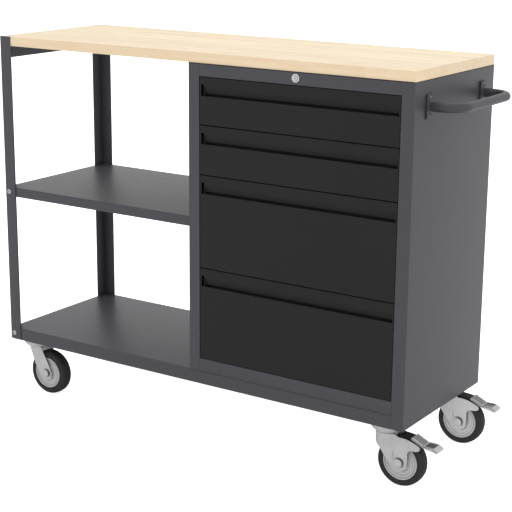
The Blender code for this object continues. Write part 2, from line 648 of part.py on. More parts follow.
# start x, end x, half width in y, low z, high z
EAR_BLOCKS = ((25.0, 48.7, 6.0, -28.0, CROWN_TOP - 0.3), (40.0, 48.4, 5.8, -27.8, -15.2))
PEDAL_ARM = [(39.2, -23.8), (41.8, -18.0), (43.4, -14.6), (54.0, -15.2), (54.0, -24.2)]
PEDAL_NECK = [(52.0, -15.0), (58.0, -15.6), (75.0, -22.6), (75.0, -26.6),
              (60.0, -24.6), (52.0, -24.3)]
PEDAL_PAD = [(72.5, -23.7), (103.0, -38.2), (127.5, -37.9), (141.0, -44.9)]


def fork_legs(outline, x, y):
    return [prism(shift_x(outline, x), "Y", y + start, y + end)
            for start, end in ((-LEG_OUT, -LEG_IN), (LEG_IN, LEG_OUT))]


def axle_hole(x, y):
    return rod((x + TRAIL, y, AXLE_Z), "Y", AXLE_BORE, -30, 30)


def plain_fork(x, y):
    """Flat crown plate between two straps."""
    crown = box(x - 16, x + 27, y - LEG_IN - 0.4, y + LEG_IN + 0.4, CROWN_LOW, CROWN_TOP)
    return cut(join(crown, *fork_legs(PLAIN_LEG, x, y)), axle_hole(x, y),
               rod((x, y, 0), "Z", CROWN_BORE, -40, -10, 24))


def braked_fork(x, y):
    """Round crown, curved wall on the -X side and a middle ear for the pedal's pin."""
    crown = lathe(CROWN_PROFILE, (x, y, 0), "Z", 24)
    curve = arc(x, y, CROWN_RADIUS - 1.5, 127, 233, 8)
    wall = prism(folded_sheet(curve, 2.4), "Z", -44.0, CROWN_TOP - 0.4)
    ear = join(*[box(x + start, x + end, y - half, y + half, low, high)
                 for start, end, half, low, high in EAR_BLOCKS])
    return cut(join(crown, wall, ear, *fork_legs(BRAKED_LEG, x, y)), axle_hole(x, y),
               rod((x + PIVOT_X, y, PIVOT_Z), "Y", 3.0 + HOLE_PLAY, -10, 10, 12))


def brake_pedal(x, y):
    """Two arms on the pin, a solid neck, then a sloping pad with a window."""
    arm = shift_x(PEDAL_ARM, x)
    pad = folded_sheet(shift_x(PEDAL_PAD, x), 2.8)
    pedal = join(prism(shift_x(PEDAL_NECK, x), "Y", y - 15.2, y + 15.2),
                 prism(arm, "Y", y - 15.0, y - 6.5),
                 prism(arm, "Y", y + 6.5, y + 15.0),
                 rod((x + PIVOT_X, y, PIVOT_Z), "Y", 3.0, -14.0, 14.0, 12),
                 prism(pad, "Y", y - 18.0, y + 18.0))
    return cut(pedal, box(x + 106.0, x + 126.0, y - 14.6, y + 14.6, -44.0, -32.0))


def build_caster(name, x, y, braked):
    top = (x, y, 0)
    plate = prism(rounded_rect(x - 52, x + 52, y - 42, y + 42, 5, 2),
                  "Z", 0.0, CASTER_PLATE_THICKNESS)
    dish = lathe(DISH_PROFILE, top, "Z", 24, closed=False)
    place("caster_plate_" + name, join(plate, dish), top, ZINC)

    swivel = joint("caster_swivel_" + name, top)
    fork = braked_fork(x, y) if braked else plain_fork(x, y)
    place("caster_fork_" + name, fork, top, ZINC, swivel)

    hub = (x + TRAIL, y, AXLE_Z)
    axle = lathe(AXLE_PROFILE, hub, "Y", 16, closed=False)
    place("caster_axle_" + name, axle, hub, ZINC, swivel)
    spin = joint("wheel_spin_" + name, hub, swivel)
    place("wheel_rim_" + name, lathe(RIM_PROFILE, hub, "Y", 32), hub, RIM_GREY, spin)
    place("wheel_tyre_" + name, lathe(TYRE_PROFILE, hub, "Y", 32), hub, RUBBER, spin)
    if braked:
        place("brake_pedal_" + name, brake_pedal(x, y), (x + PIVOT_X, y, PIVOT_Z),
              ZINC, swivel)


# ----------------------------------------------------------------- assembly
for old in list(bpy.data.objects):
    bpy.data.objects.remove(old, do_unlink=True)

build_tray()
build_mid_shelf()
build_posts()
build_end_rail()
build_post_bolts()
build_cabinet_sides()
build_front_rails()
build_cabinet_back()
build_worktop()
build_handle_plates()
build_handle_tube()
build_lock()
build_lock_bar()
for index, drawer in enumerate(DRAWERS):
    build_drawer(index + 1, *drawer)
for caster in CASTERS:
    build_caster(*caster)
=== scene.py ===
import json
import math

import bmesh
import bpy
from mathutils import Matrix, Vector


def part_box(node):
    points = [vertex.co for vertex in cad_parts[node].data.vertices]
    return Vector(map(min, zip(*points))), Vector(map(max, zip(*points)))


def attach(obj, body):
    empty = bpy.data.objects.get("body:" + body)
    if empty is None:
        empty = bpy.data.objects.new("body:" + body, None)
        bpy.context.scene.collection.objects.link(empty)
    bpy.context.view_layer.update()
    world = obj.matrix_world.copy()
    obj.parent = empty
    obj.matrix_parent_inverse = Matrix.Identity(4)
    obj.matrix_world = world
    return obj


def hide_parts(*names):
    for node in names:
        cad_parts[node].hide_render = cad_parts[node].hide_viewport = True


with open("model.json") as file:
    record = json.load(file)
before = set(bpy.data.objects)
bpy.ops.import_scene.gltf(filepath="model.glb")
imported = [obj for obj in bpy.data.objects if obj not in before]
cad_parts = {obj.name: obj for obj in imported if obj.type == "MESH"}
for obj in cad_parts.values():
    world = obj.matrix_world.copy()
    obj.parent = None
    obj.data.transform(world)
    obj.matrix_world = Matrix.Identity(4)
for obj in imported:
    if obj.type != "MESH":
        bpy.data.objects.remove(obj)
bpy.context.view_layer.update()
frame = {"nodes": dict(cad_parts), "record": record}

REC = frame["record"]
scene = bpy.context.scene

# All shaping below is in millimetres in the row frame; make() scales to metres.
AXIS = {j["name"]: Vector(j["pos_m"]) * 1000.0
        for j in REC["behaviour"]["joints"] if "pos_m" in j}


def B(node):
    lo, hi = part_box(node)
    return lo * 1000.0, hi * 1000.0


# ------------------------------------------------------------------ materials
class Shader:
    """A Principled material with helpers for its node tree."""

    def __init__(self, name):
        self.mat = bpy.data.materials.new(name)
        self.mat.use_nodes = True
        self.t = self.mat.node_tree
        self.p = self.t.nodes["Principled BSDF"]
        self.coord = self.t.nodes.new("ShaderNodeTexCoord").outputs["Object"]

    def link(self, a, b):
        self.t.links.new(a, b)

    def stretch(self, x, y, z, source=None):
        n = self.t.nodes.new("ShaderNodeMapping")
        n.inputs["Scale"].default_value = (x, y, z)
        self.link(source or self.coord, n.inputs["Vector"])
        return n.outputs["Vector"]

    def noise(self, scale, detail=3.0, rough=0.55, vector=None, distortion=0.0):
        n = self.t.nodes.new("ShaderNodeTexNoise")
        n.inputs["Scale"].default_value = scale
        n.inputs["Detail"].default_value = detail
        n.inputs["Roughness"].default_value = rough
        n.inputs["Distortion"].default_value = distortion
        self.link(vector or self.coord, n.inputs["Vector"])
        return n.outputs["Fac"]

    def span(self, value, a, b, c, d):
        n = self.t.nodes.new("ShaderNodeMapRange")
        for i, v in ((1, a), (2, b), (3, c), (4, d)):
            n.inputs[i].default_value = v
        self.link(value, n.inputs[0])
        return n.outputs[0]

    def math(self, op, a, b):
        n = self.t.nodes.new("ShaderNodeMath")
        n.operation = op
        for i, v in enumerate((a, b)):
            if isinstance(v, (int, float)):
                n.inputs[i].default_value = v
            else:
                self.link(v, n.inputs[i])
        return n.outputs[0]

    def mix(self, fac, a, b, mode="MIX"):
        n = self.t.nodes.new("ShaderNodeMix")
        n.data_type = "RGBA"
        n.blend_type = mode
        for sock, v in ((n.inputs[0], fac), (n.inputs[6], a), (n.inputs[7], b)):
            if isinstance(v, (int, float)):
                sock.default_value = v
            elif isinstance(v, tuple):
                sock.default_value = (*v, 1.0)
            else:
                self.link(v, sock)
        return n.outputs[2]

    def bump(self, height, strength, distance):
        n = self.t.nodes.new("ShaderNodeBump")
        n.inputs["Strength"].default_value = strength
        n.inputs["Distance"].default_value = distance
        self.link(height, n.inputs["Height"])
        self.link(n.outputs["Normal"], self.p.inputs["Normal"])

    def set(self, colour=None, rough=None, metal=0.0, spec=0.5):
        for key, v in (("Base Color", colour), ("Roughness", rough)):
            if isinstance(v, tuple):
                self.p.inputs[key].default_value = (*v, 1.0)
            elif isinstance(v, (int, float)):
                self.p.inputs[key].default_value = v
            elif v is not None:
                self.link(v, self.p.inputs[key])
        self.p.inputs["Metallic"].default_value = metal
        self.p.inputs["Specular IOR Level"].default_value = spec


def tone(c, k):
    return tuple(min(1.0, v * k) for v in c)


def powder(name, colour, rough=0.5, spec=0.45, vary=0.03, grain=1500.0, bump=0.35, dust=0.008, recess_shade_y=None):
    """Powder coat: fine orange peel, slow tone drift, faint dust and rubbed spots."""
    s = Shader(name)
    slow = s.noise(3.1, 4.0, 0.6)
    patch = s.noise(23.0, 5.0, 0.65)
    fine = s.noise(grain * 0.6, 2.0, 0.5)
    peel = s.noise(grain, 2.0, 0.6)
    base = s.mix(s.span(slow, 0.32, 0.68, 0.0, 1.0), tone(colour, 1 - vary), tone(colour, 1 + vary))
    base = s.mix(s.span(fine, 0.4, 0.62, 0.0, 0.35), base, tone(colour, 1 + 2.2 * vary))
    rub = s.span(s.noise(61.0, 6.0, 0.7, s.stretch(1.0, 1.0, 2.2)), 0.66, 0.8, 0.0, 1.0)
    haze = s.math("MULTIPLY", s.span(patch, 0.55, 0.8, 0.0, 1.0), dust * 4)
    base = s.mix(haze, base, tone(colour, 1.5))
    base = s.mix(s.math("MULTIPLY", rub, 0.04), base, tone(colour, 1.5))
    if recess_shade_y is not None:                     # painted shade: the colour darkens with depth behind the drawer face, inside the grip recess
        axes = s.t.nodes.new("ShaderNodeSeparateXYZ")
        s.link(s.coord, axes.inputs[0])
        base = s.mix(s.span(axes.outputs["Y"], recess_shade_y + 0.0008, recess_shade_y + 0.0085, 0.0, 0.6), base, tone(colour, 0.12))
    r = s.span(patch, 0.3, 0.75, rough - 0.012, rough + 0.018)
    r = s.math("SUBTRACT", r, s.math("MULTIPLY", rub, 0.02))
    s.set(base, r, 0.0, spec)
    s.bump(peel, bump, 0.00012)
    return s.mat


def zinc(name, colour, rough=0.42, metal=0.55, line=None, vary=0.08):
    """Zinc plate: soft cloudy tone, faint rolling lines and stained spots."""
    s = Shader(name)
    cloud = s.noise(38.0, 5.0, 0.6)
    spot = s.noise(210.0, 4.0, 0.7)
    base = s.mix(s.span(cloud, 0.3, 0.7, 0.0, 1.0), tone(colour, 1 - vary), tone(colour, 1 + vary))
    base = s.mix(s.span(spot, 0.62, 0.8, 0.0, 0.25), base, tone(colour, 0.72))
    fibre = s.noise(1.0, 3.0, 0.6, s.stretch(*(line or (260.0, 260.0, 1800.0))))
    base = s.mix(s.span(fibre, 0.35, 0.65, 0.0, 0.18), base, tone(colour, 1.12))
    r = s.math("ADD", s.span(cloud, 0.3, 0.75, rough - 0.06, rough + 0.07),
               s.span(fibre, 0.3, 0.7, -0.03, 0.03))
    s.set(base, r, metal, 0.5)
    s.bump(s.math("ADD", fibre, spot), 0.22, 0.00008)
    return s.mat


def rubber(name, colour, rough=0.72):
    s = Shader(name)
    patch = s.noise(45.0, 5.0, 0.65)
    fine = s.noise(1600.0, 3.0, 0.6)
    scuff = s.span(s.noise(120.0, 6.0, 0.75), 0.6, 0.78, 0.0, 0.35)
    base = s.mix(s.span(patch, 0.3, 0.7, 0.0, 1.0), tone(colour, 0.86), tone(colour, 1.14))
    base = s.mix(scuff, base, tone(colour, 1.9))
    s.set(base, s.span(patch, 0.3, 0.7, rough - 0.07, rough + 0.08), 0.0, 0.25)
    s.bump(fine, 0.4, 0.00015)
    return s.mat


def wood(name, light, dark, rough=0.5):
    """Light beech: glued staves along X, long streaks, short pores, darker end grain."""
    s = Shader(name)
    n = s.t.nodes.new("ShaderNodeTexBrick")
    n.offset = 0.43
    n.inputs["Scale"].default_value = 1.0
    n.inputs["Brick Width"].default_value = 0.62
    n.inputs["Row Height"].default_value = 0.0445
    n.inputs["Mortar Size"].default_value = 0.00045
    n.inputs["Mortar Smooth"].default_value = 0.4
    n.inputs["Color1"].default_value = (0, 0, 0, 1)
    n.inputs["Color2"].default_value = (1, 1, 1, 1)
    n.inputs["Mortar"].default_value = (0.5, 0.5, 0.5, 1)
    shift = s.t.nodes.new("ShaderNodeMapping")
    shift.inputs["Location"].default_value = (0.171, 0.0131, 0.0)
    s.link(s.coord, shift.inputs["Vector"])
    s.link(shift.outputs["Vector"], n.inputs["Vector"])
    stave, joint = n.outputs["Color"], n.outputs["Fac"]
    band = s.noise(1.0, 4.0, 0.6, s.stretch(2.6, 46.0, 60.0), 0.5)
    streak = s.noise(1.0, 5.0, 0.7, s.stretch(9.0, 105.0, 190.0), 0.3)
    pore = s.noise(1.0, 2.0, 0.5, s.stretch(95.0, 1300.0, 1300.0))
    base = s.mix(s.span(band, 0.36, 0.64, 0.0, 1.0), light, dark)
    base = s.mix(s.span(streak, 0.46, 0.66, 0.0, 0.75), base, (dark[0] * 0.93, dark[1] * 0.87, dark[2] * 0.82))
    toned = s.mix(stave, tone(light, 1.03), tone(dark, 0.97))
    base = s.mix(0.28, base, toned)
    base = s.mix(s.span(pore, 0.6, 0.72, 0.0, 0.3), base, tone(dark, 0.8))
    base = s.mix(s.math("MULTIPLY", joint, 0.3), base, tone(dark, 0.72))
    geo = s.t.nodes.new("ShaderNodeNewGeometry")
    sep = s.t.nodes.new("ShaderNodeSeparateXYZ")
    s.link(geo.outputs["True Normal"], sep.inputs[0])
    # vertical faces are painted darker than the top: painted shade on the board's front and sides
    edge = s.math("SUBTRACT", 1.0, s.math("ABSOLUTE", sep.outputs["Z"], 0.0))
    end = s.math("ABSOLUTE", sep.outputs["X"], 0.0)
    base = s.mix(s.math("MULTIPLY", edge, 0.55), base, (dark[0] * 0.97, dark[1] * 0.9, dark[2] * 0.86))
    grain_end = s.noise(1.0, 3.0, 0.6, s.stretch(1.0, 420.0, 700.0))
    base = s.mix(s.math("MULTIPLY", end, s.span(grain_end, 0.4, 0.65, 0.0, 0.35)), base,
                 tone(dark, 0.82))
    s.set(base, s.span(streak, 0.3, 0.7, rough - 0.06, rough + 0.08), 0.0, 0.32)
    s.bump(s.math("ADD", streak, s.math("MULTIPLY", pore, -0.6)), 0.18, 0.00012)
    return s.mat


M_BODY = powder("m_body_powder", (0.0525, 0.0522, 0.0612), 0.41, 0.36, bump=0.4)
# the drawer paint carries painted shade that darkens with depth inside the grip recess
M_DRAWER = powder("m_drawer_powder", (0.0190, 0.0190, 0.0192), 0.52, 0.11, dust=0.006,
                  recess_shade_y=B("drawer_1_front")[0].y * 0.001)
# near-black sheet material: painted shade behind the drawer grips
M_SHADE_SHEET = powder("m_black_lining", (0.0140, 0.0140, 0.0143), 0.7, 0.06)
M_INNER = powder("m_inner_powder", (0.09, 0.09, 0.095), 0.5, 0.4)
M_HANDLE = powder("m_handle_powder", (0.0325, 0.0325, 0.0415), 0.42, 0.5, grain=1700.0)
M_ZINC = zinc("m_zinc", (0.5, 0.5, 0.52))
M_CASTER = zinc("m_caster_steel", (0.49, 0.49, 0.497), 0.5, 0.2)
M_FORK = zinc("m_fork_steel", (0.48, 0.48, 0.487), 0.52, 0.15)
M_RIM = zinc("m_rim_steel", (0.495, 0.495, 0.503), 0.46, 0.2)
M_BOLT = zinc("m_bolt_steel", (0.42, 0.42, 0.44), 0.35, 0.7)
M_SCREW = zinc("m_screw_dull", (0.155, 0.155, 0.16), 0.42, 0.5)
M_WEB = zinc("m_web_steel", (0.255, 0.255, 0.26), 0.55, 0.2)
# darker steel for the tread plate: painted shade in the gaps between the pedal ribs
M_TREAD_SHADE = zinc("m_tread_painted_shade", (0.185, 0.185, 0.19), 0.6, 0.15)
# dark steel used as painted shade: cheek edges, dish flank, axle collar and front pedal web
M_PAINTED_SHADE = zinc("m_painted_shade_steel", (0.115, 0.115, 0.12), 0.55, 0.2)
# dark rubber for the brake arm, also used as painted shade for the worktop strip and the plain casters' dish flank
M_DARK = rubber("m_dark_arm_and_shade", (0.012, 0.012, 0.0125), 0.6)
M_TYRE = rubber("m_tyre_rubber", (0.0248, 0.0248, 0.0260))
M_LOCK = zinc("m_lock_nickel", (0.60, 0.59, 0.60), 0.34, 0.7, (900.0, 300.0, 900.0), 0.04)
M_WOOD = wood("m_worktop_beech", (0.925, 0.805, 0.578), (0.80, 0.652, 0.45))


# ------------------------------------------------------------------- geometry
def rounded(pts, radii, n=5):
    """Closed polygon with its corners turned into arcs of the given radii."""
    out = []
    m = len(pts)
    for i in range(m):
        p = Vector(pts[i])
        r = radii[i] if isinstance(radii, (list, tuple)) else radii
        a = (p - Vector(pts[i - 1]))
        b = (Vector(pts[(i + 1) % m]) - p)
        la, lb = a.length, b.length
        a.normalize()
        b.normalize()
        turn = math.atan2(a.x * b.y - a.y * b.x, a.dot(b))
        if r <= 0 or abs(turn) < 1e-3:
            out.append(p)
            continue
        tl = min(r * math.tan(abs(turn) / 2), la * 0.49, lb * 0.49)
        r = tl / math.tan(abs(turn) / 2)
        side = 1.0 if turn > 0 else -1.0
        c = p - a * tl + Vector((-a.y, a.x)) * side * r
        v = (p - a * tl) - c
        for k in range(n + 1):
            t = turn * k / n
            out.append(c + Vector((v.x * math.cos(t) - v.y * math.sin(t),
                                   v.x * math.sin(t) + v.y * math.cos(t))))
    return out


def fold(path, t, r_in=1.0, n=4, radii=None):
    """Section outline of folded sheet: a centreline thickened by t, bends rounded."""
    pts = [Vector(p) for p in path]
    left, right, rl, rr = [], [], [], []
    for i, p in enumerate(pts):
        d0 = (p - pts[i - 1]).normalized() if i > 0 else None
        d1 = (pts[i + 1] - p).normalized() if i + 1 < len(pts) else None
        inner = d0 is not None and d1 is not None
        d0 = d0 or d1
        d1 = d1 or d0
        n0, n1 = Vector((-d0.y, d0.x)), Vector((-d1.y, d1.x))
        m = (n0 + n1).normalized()
        off = m * (t / 2.0 / max(0.3, m.dot(n0)))
        left.append(p + off)
        right.append(p - off)
        if not inner:
            rl.append(0.0)
            rr.append(0.0)
            continue
        r = (radii or {}).get(i, r_in)
        turn = d0.x * d1.y - d0.y * d1.x
        rl.append(r if turn > 0 else r + t)
        rr.append(r + t if turn > 0 else r)
    return rounded(left + right[::-1], rl + rr[::-1], n)


def round_rect(x0, x1, y0, y1, r, n=6):
    return rounded([(x0, y0), (x1, y0), (x1, y1), (x0, y1)], r, n)


def at(p, axis, a):
    if axis == "X":
        return Vector((a, p[0], p[1]))
    if axis == "Y":
        return Vector((p[0], a, p[1]))
    return Vector((p[0], p[1], a))


def prism(pts, axis, a, b, bm=None):
    bm = bm or bmesh.new()
    face = bm.faces.new([bm.verts.new(at(p, axis, a)) for p in pts])
    ext = bmesh.ops.extrude_face_region(bm, geom=[face])
    move = at((0, 0), axis, b) - at((0, 0), axis, a)
    bmesh.ops.translate(bm, vec=move,
                        verts=[g for g in ext["geom"] if isinstance(g, bmesh.types.BMVert)])
    bmesh.ops.recalc_face_normals(bm, faces=bm.faces)
    return bm


def cube(x0, x1, y0, y1, z0, z1, bm=None):
    return prism([(x0, y0), (x1, y0), (x1, y1), (x0, y1)], "Z", z0, z1, bm)


def lathe(profile, centre, axis, n=72, closed=True, bm=None):
    bm = bm or bmesh.new()
    c = Vector(centre)
    ax = {"X": Vector((1, 0, 0)), "Y": Vector((0, 1, 0)), "Z": Vector((0, 0, 1))}[axis]
    u = {"X": Vector((0, 1, 0)), "Y": Vector((0, 0, 1)), "Z": Vector((1, 0, 0))}[axis]
    w = ax.cross(u)
    rings = []
    for r, h in profile:
        if r < 1e-6:
            rings.append([bm.verts.new(c + ax * h)])
            continue
        rings.append([bm.verts.new(c + ax * h + (u * math.cos(t) + w * math.sin(t)) * r)
                      for t in [2 * math.pi * k / n for k in range(n)]])
    pairs = list(zip(rings, rings[1:]))
    if closed:
        pairs.append((rings[-1], rings[0]))
    for p, q in pairs:
        for k in range(n):
            j = (k + 1) % n
            if len(p) == 1 and len(q) == 1:
                break
            if len(p) == 1:
                bm.faces.new((p[0], q[k], q[j]))
            elif len(q) == 1:
                bm.faces.new((p[k], q[0], p[j]))
            else:
                bm.faces.new((p[k], q[k], q[j], p[j]))
    bmesh.ops.recalc_face_normals(bm, faces=bm.faces)
    return bm


def rod(centre, axis, r, a, b, n=48, bm=None):
    return lathe([(0, a), (r, a), (r, b), (0, b)], centre, axis, n, False, bm)


def soft(profile, r, n=4, closed=False):
    """Rounds the inner corners of an open lathe profile."""
    pts = [Vector(p) for p in profile]
    out = [pts[0]] if not closed else []
    body = pts[1:-1] if not closed else pts
    for i, p in enumerate(body):
        a_, b_ = (pts[i], pts[i + 2]) if not closed else (pts[i - 1], pts[(i + 1) % len(pts)])
        a, b = p - a_, b_ - p
        la, lb = a.length, b.length
        a.normalize()
        b.normalize()
        turn = math.atan2(a.x * b.y - a.y * b.x, a.dot(b))
        if abs(turn) < 0.05:
            out.append(p)
            continue
        tl = min(r * math.tan(abs(turn) / 2), la * 0.45, lb * 0.45)
        rr = tl / math.tan(abs(turn) / 2)
        side = 1.0 if turn > 0 else -1.0
        c = p - a * tl + Vector((-a.y, a.x)) * side * rr
        v = (p - a * tl) - c
        for k in range(n + 1):
            t = turn * k / n
            out.append(c + Vector((v.x * math.cos(t) - v.y * math.sin(t),
                                   v.x * math.sin(t) + v.y * math.cos(t))))
    if not closed:
        out.append(pts[-1])
    return [(max(0.0, p.x), p.y) for p in out]


def temp(bm):
    me = bpy.data.meshes.new("tmp")
    bm.to_mesh(me)
    bm.free()
    ob = bpy.data.objects.new("tmp", me)
    scene.collection.objects.link(ob)
    return ob


def carve(bm, tools, op="DIFFERENCE"):
    """Boolean closed bmeshes into bm; returns a fresh bmesh."""
    ob = temp(bm)
    cutters = [temp(t) for t in tools]
    for c in cutters:
        mod = ob.modifiers.new("b", "BOOLEAN")
        mod.operation = op
        mod.solver = "EXACT"
        mod.object = c
    graph = bpy.context.evaluated_depsgraph_get()
    graph.update()
    me = bpy.data.meshes.new_from_object(ob.evaluated_get(graph))
    out = bmesh.new()
    out.from_mesh(me)
    for o in [ob] + cutters:
        data = o.data
        bpy.data.objects.remove(o, do_unlink=True)
        bpy.data.meshes.remove(data)
    bpy.data.meshes.remove(me)
    bmesh.ops.remove_doubles(out, verts=out.verts, dist=1e-3)
    bmesh.ops.dissolve_degenerate(out, edges=out.edges, dist=1e-4)
    return out


def make(name, bm, mat, body, replace=(), bevel=0.0, seg=2, angle=32.0, sharp=None, extra=None):
    """Turns a bmesh in millimetres into a finished piece riding on a CAD body."""
    bmesh.ops.scale(bm, vec=(0.001, 0.001, 0.001), verts=bm.verts)
    for f in bm.faces:
        f.smooth = True
    me = bpy.data.meshes.new(name)
    bm.to_mesh(me)
    bm.free()
    me.materials.append(mat)
    if extra:
        me.materials.append(extra)
    ob = bpy.data.objects.new(name, me)
    scene.collection.objects.link(ob)
    if sharp is not None:
        me.set_sharp_from_angle(angle=math.radians(sharp))
    if bevel > 0:
        add_bevel(ob, bevel, seg, angle)
    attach(ob, body)
    if replace:
        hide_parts(*([replace] if isinstance(replace, str) else replace))
    return ob


def add_bevel(ob, width, seg=2, angle=32.0):
    mod = ob.modifiers.new("edges", "BEVEL")
    mod.width = width * 0.001
    mod.segments = seg
    mod.limit_method = "ANGLE"
    mod.angle_limit = math.radians(angle)
    mod.use_clamp_overlap = True
    mod.harden_normals = True
    mod.miter_outer = "MITER_ARC"
    return mod


def keep(node, mat, bevel=0.3, seg=2, angle=32.0):
    """Carries a CAD node over with welded corners, broken edges and a material."""
    ob = frame["nodes"][node]
    me = ob.data
    for key in [a.name for a in me.attributes if a.name in ("custom_normal", "sharp_edge", "sharp_face")]:
        a = me.attributes.get(key)
        if a is not None:
            me.attributes.remove(a)
    me.shade_smooth()
    me.materials.clear()
    me.materials.append(mat)
    weld = ob.modifiers.new("weld", "WELD")
    weld.merge_threshold = 1e-5
    add_bevel(ob, bevel, seg, angle)
    return ob


SLOT = {s["node"]: s["material_slot"] for s in REC["subparts"]}

# ---------------------------------------------------------------- carcass sheet
T = 1.5
GAP = 0.3
C = T / 2

p_lo, p_hi = B("post_front_left")
bench_x, bench_y, bench_z = p_lo.x, p_lo.y, p_lo.z   # outer left corner of the tray
lo, hi = B("cabinet_side_right")
side_r = hi.x
depth_y = hi.y
trail_hi = B("cabinet_top_rail")[1]
trail_lo = B("cabinet_top_rail")[0]
top_z = hi.z

stile = hi.x - trail_hi.x - GAP
sec = fold([(hi.x - stile, lo.y + C), (hi.x - C, lo.y + C), (hi.x - C, hi.y - C),
            (hi.x - 20, hi.y - C)], T, 0.9, 5)
make("side_panel_right", prism(sec, "Z", lo.z, hi.z), M_BODY, "frame", "cabinet_side_right",
     0.35, 2, 40)
lo, hi = B("cabinet_side_left")
cab_x0 = lo.x
sec = fold([(lo.x + stile, lo.y + C), (lo.x + C, lo.y + C), (lo.x + C, hi.y - C),
            (lo.x + 20, hi.y - C)], T, 0.9, 5)
make("side_panel_left", prism(sec, "Z", lo.z, hi.z), M_BODY, "frame", "cabinet_side_left",
     0.35, 2, 40)

lock_lo, lock_hi = B("lock_housing")
lock_c = (lock_lo + lock_hi) / 2
lo, hi = trail_lo, trail_hi
sec = fold([(lo.y + 12, lo.z + C), (lo.y + C, lo.z + C), (lo.y + C, hi.z - C),
            (lo.y + 40, hi.z - C)], T, 0.7, 4)
rail = carve(prism(sec, "X", lo.x, hi.x + 0.28), [rod((lock_c.x, 0, lock_c.z), "Y", 9.4, lo.y - 5, lo.y + 6, 48)])
make("top_rail", rail, M_BODY, "frame", "cabinet_top_rail", 0.3, 2, 40)
lo, hi = B("cabinet_bottom_rail")
sec = fold([(lo.y + 12, hi.z - C), (lo.y + C, hi.z - C), (lo.y + C, lo.z + C),
            (lo.y + 40, lo.z + C)], T, 0.7, 4)
make("bottom_rail", prism(sec, "X", lo.x, hi.x), M_BODY, "frame", "cabinet_bottom_rail",
     0.3, 2, 40)

# posts and end rail
TP = 2.0
for label, ya, s in (("front", None, 1), ("rear", None, -1)):
    lo, hi = B("post_%s_left" % label)
    y0, y1 = (lo.y, hi.y) if s > 0 else (hi.y, lo.y)
    path = [(hi.x, y0 + s * TP / 2), (lo.x + TP / 2, y0 + s * TP / 2), (lo.x + TP / 2, y1)]
    make("post_%s" % label, prism(fold(path, TP, 0.6, 4), "Z", lo.z, hi.z), M_BODY, "frame",
         "post_%s_left" % label, 0.4, 2, 40)
lo, hi = B("end_rail_left")
path = [(lo.x + C, lo.z), (lo.x + C, hi.z - C), (hi.x, hi.z - C)]
make("end_rail", prism(fold(path, T, 0.6, 4), "Y", lo.y, hi.y), M_BODY, "frame",
     "end_rail_left", 0.35, 2, 40)


def pan(x0, x1, y0, y1, z0, z1, bend=2.0):
    """Folded tray: rounded top edges, lips turned down, closed corners."""
    bm = cube(x0, x1, y0, y1, z0, z1)
    top = [e for e in bm.edges if all(abs(v.co.z - z1) < 1e-4 for v in e.verts)]
    bmesh.ops.bevel(bm, geom=top, offset=bend, segments=5, profile=0.5, affect="EDGES",
                    clamp_overlap=True)
    up = [e for e in bm.edges if abs(e.verts[0].co.z - e.verts[1].co.z) > (z1 - z0) * 0.5
          and abs(e.verts[0].co.x - e.verts[1].co.x) < 1e-3
          and abs(e.verts[0].co.y - e.verts[1].co.y) < 1e-3]
    bmesh.ops.bevel(bm, geom=up, offset=0.6, segments=3, profile=0.5, affect="EDGES",
                    clamp_overlap=True)
    bmesh.ops.recalc_face_normals(bm, faces=bm.faces)
    return bm


lo, hi = B("base_tray")
fz = lo.z + 3.3
LIP = 2.0                     # the folded lips hang slightly below the caster plates
tray = carve(pan(lo.x, hi.x, lo.y, hi.y, lo.z - LIP, hi.z),
             [cube(lo.x + T, hi.x - T, lo.y + T, hi.y - T, lo.z - 5, fz),
              cube(lo.x + T, hi.x - T, lo.y + T, hi.y - T, fz + T, hi.z - T),
              cube(bench_x + 125, bench_x + 1125, bench_y + 30, bench_y + 390, fz - 1, fz + T + 1)])
make("tray", tray, M_BODY, "frame", "base_tray", 0.3, 2, 40)
lo, hi = B("mid_shelf")
shelf = carve(pan(lo.x, hi.x, lo.y, hi.y, lo.z, hi.z),
              [cube(lo.x + T, hi.x - T, lo.y + T, hi.y - T, lo.z - 5, hi.z - T)])
make("shelf", shelf, M_BODY, "frame", "mid_shelf", 0.3, 2, 40)

keep("cabinet_back", M_BODY, 0.3)
keep("worktop", M_WOOD, 1.6, 4)

# thin dark strip under the worktop's edge: painted shade standing in for the shadow line under the board
shade_band = cube(cab_x0 + 1.0, side_r + 0.35, trail_lo.y - 0.35, trail_lo.y + 3.0, top_z - 1.3, top_z - 0.05)
cube(side_r - 3.0, side_r + 0.35, trail_lo.y + 3.2, depth_y - 1.0, top_z - 1.3, top_z - 0.05, shade_band)
make("worktop_seal", shade_band, M_DARK, "frame", (), 0.12, 1, 40)

# ------------------------------------------------------------------ fasteners


def hex_pts(r_flat, turn=0.0):
    r = r_flat / math.cos(math.pi / 6)
    return [(r * math.cos(turn + math.pi / 3 * k), r * math.sin(turn + math.pi / 3 * k))
            for k in range(6)]


def button(c, axis, s, r, h, socket):
    """Domed screw head with a hex socket; s is the outward sign along the axis."""
    prof = [(0.0, 0.0), (r - 0.3, 0.0), (r, 0.3)]
    prof += [(r * math.cos(math.radians(a)), 0.3 + (h - 0.3) * math.sin(math.radians(a)))
             for a in (12, 24, 36, 48, 60)]
    prof += [(r * 0.44, h), (0.0, h)]
    head = lathe([(p, s * q) for p, q in prof], c, axis, 48, False)
    pts = hex_pts(socket)
    if axis == "Y":
        tool = prism([(c[0] + p, c[2] + q) for p, q in pts], "Y", c[1] + s * h * 0.35, c[1] + s * (h + 2))
    else:
        tool = prism([(c[1] + p, c[2] + q) for p, q in pts], "X", c[0] + s * h * 0.35, c[0] + s * (h + 2))
    return carve(head, [tool])


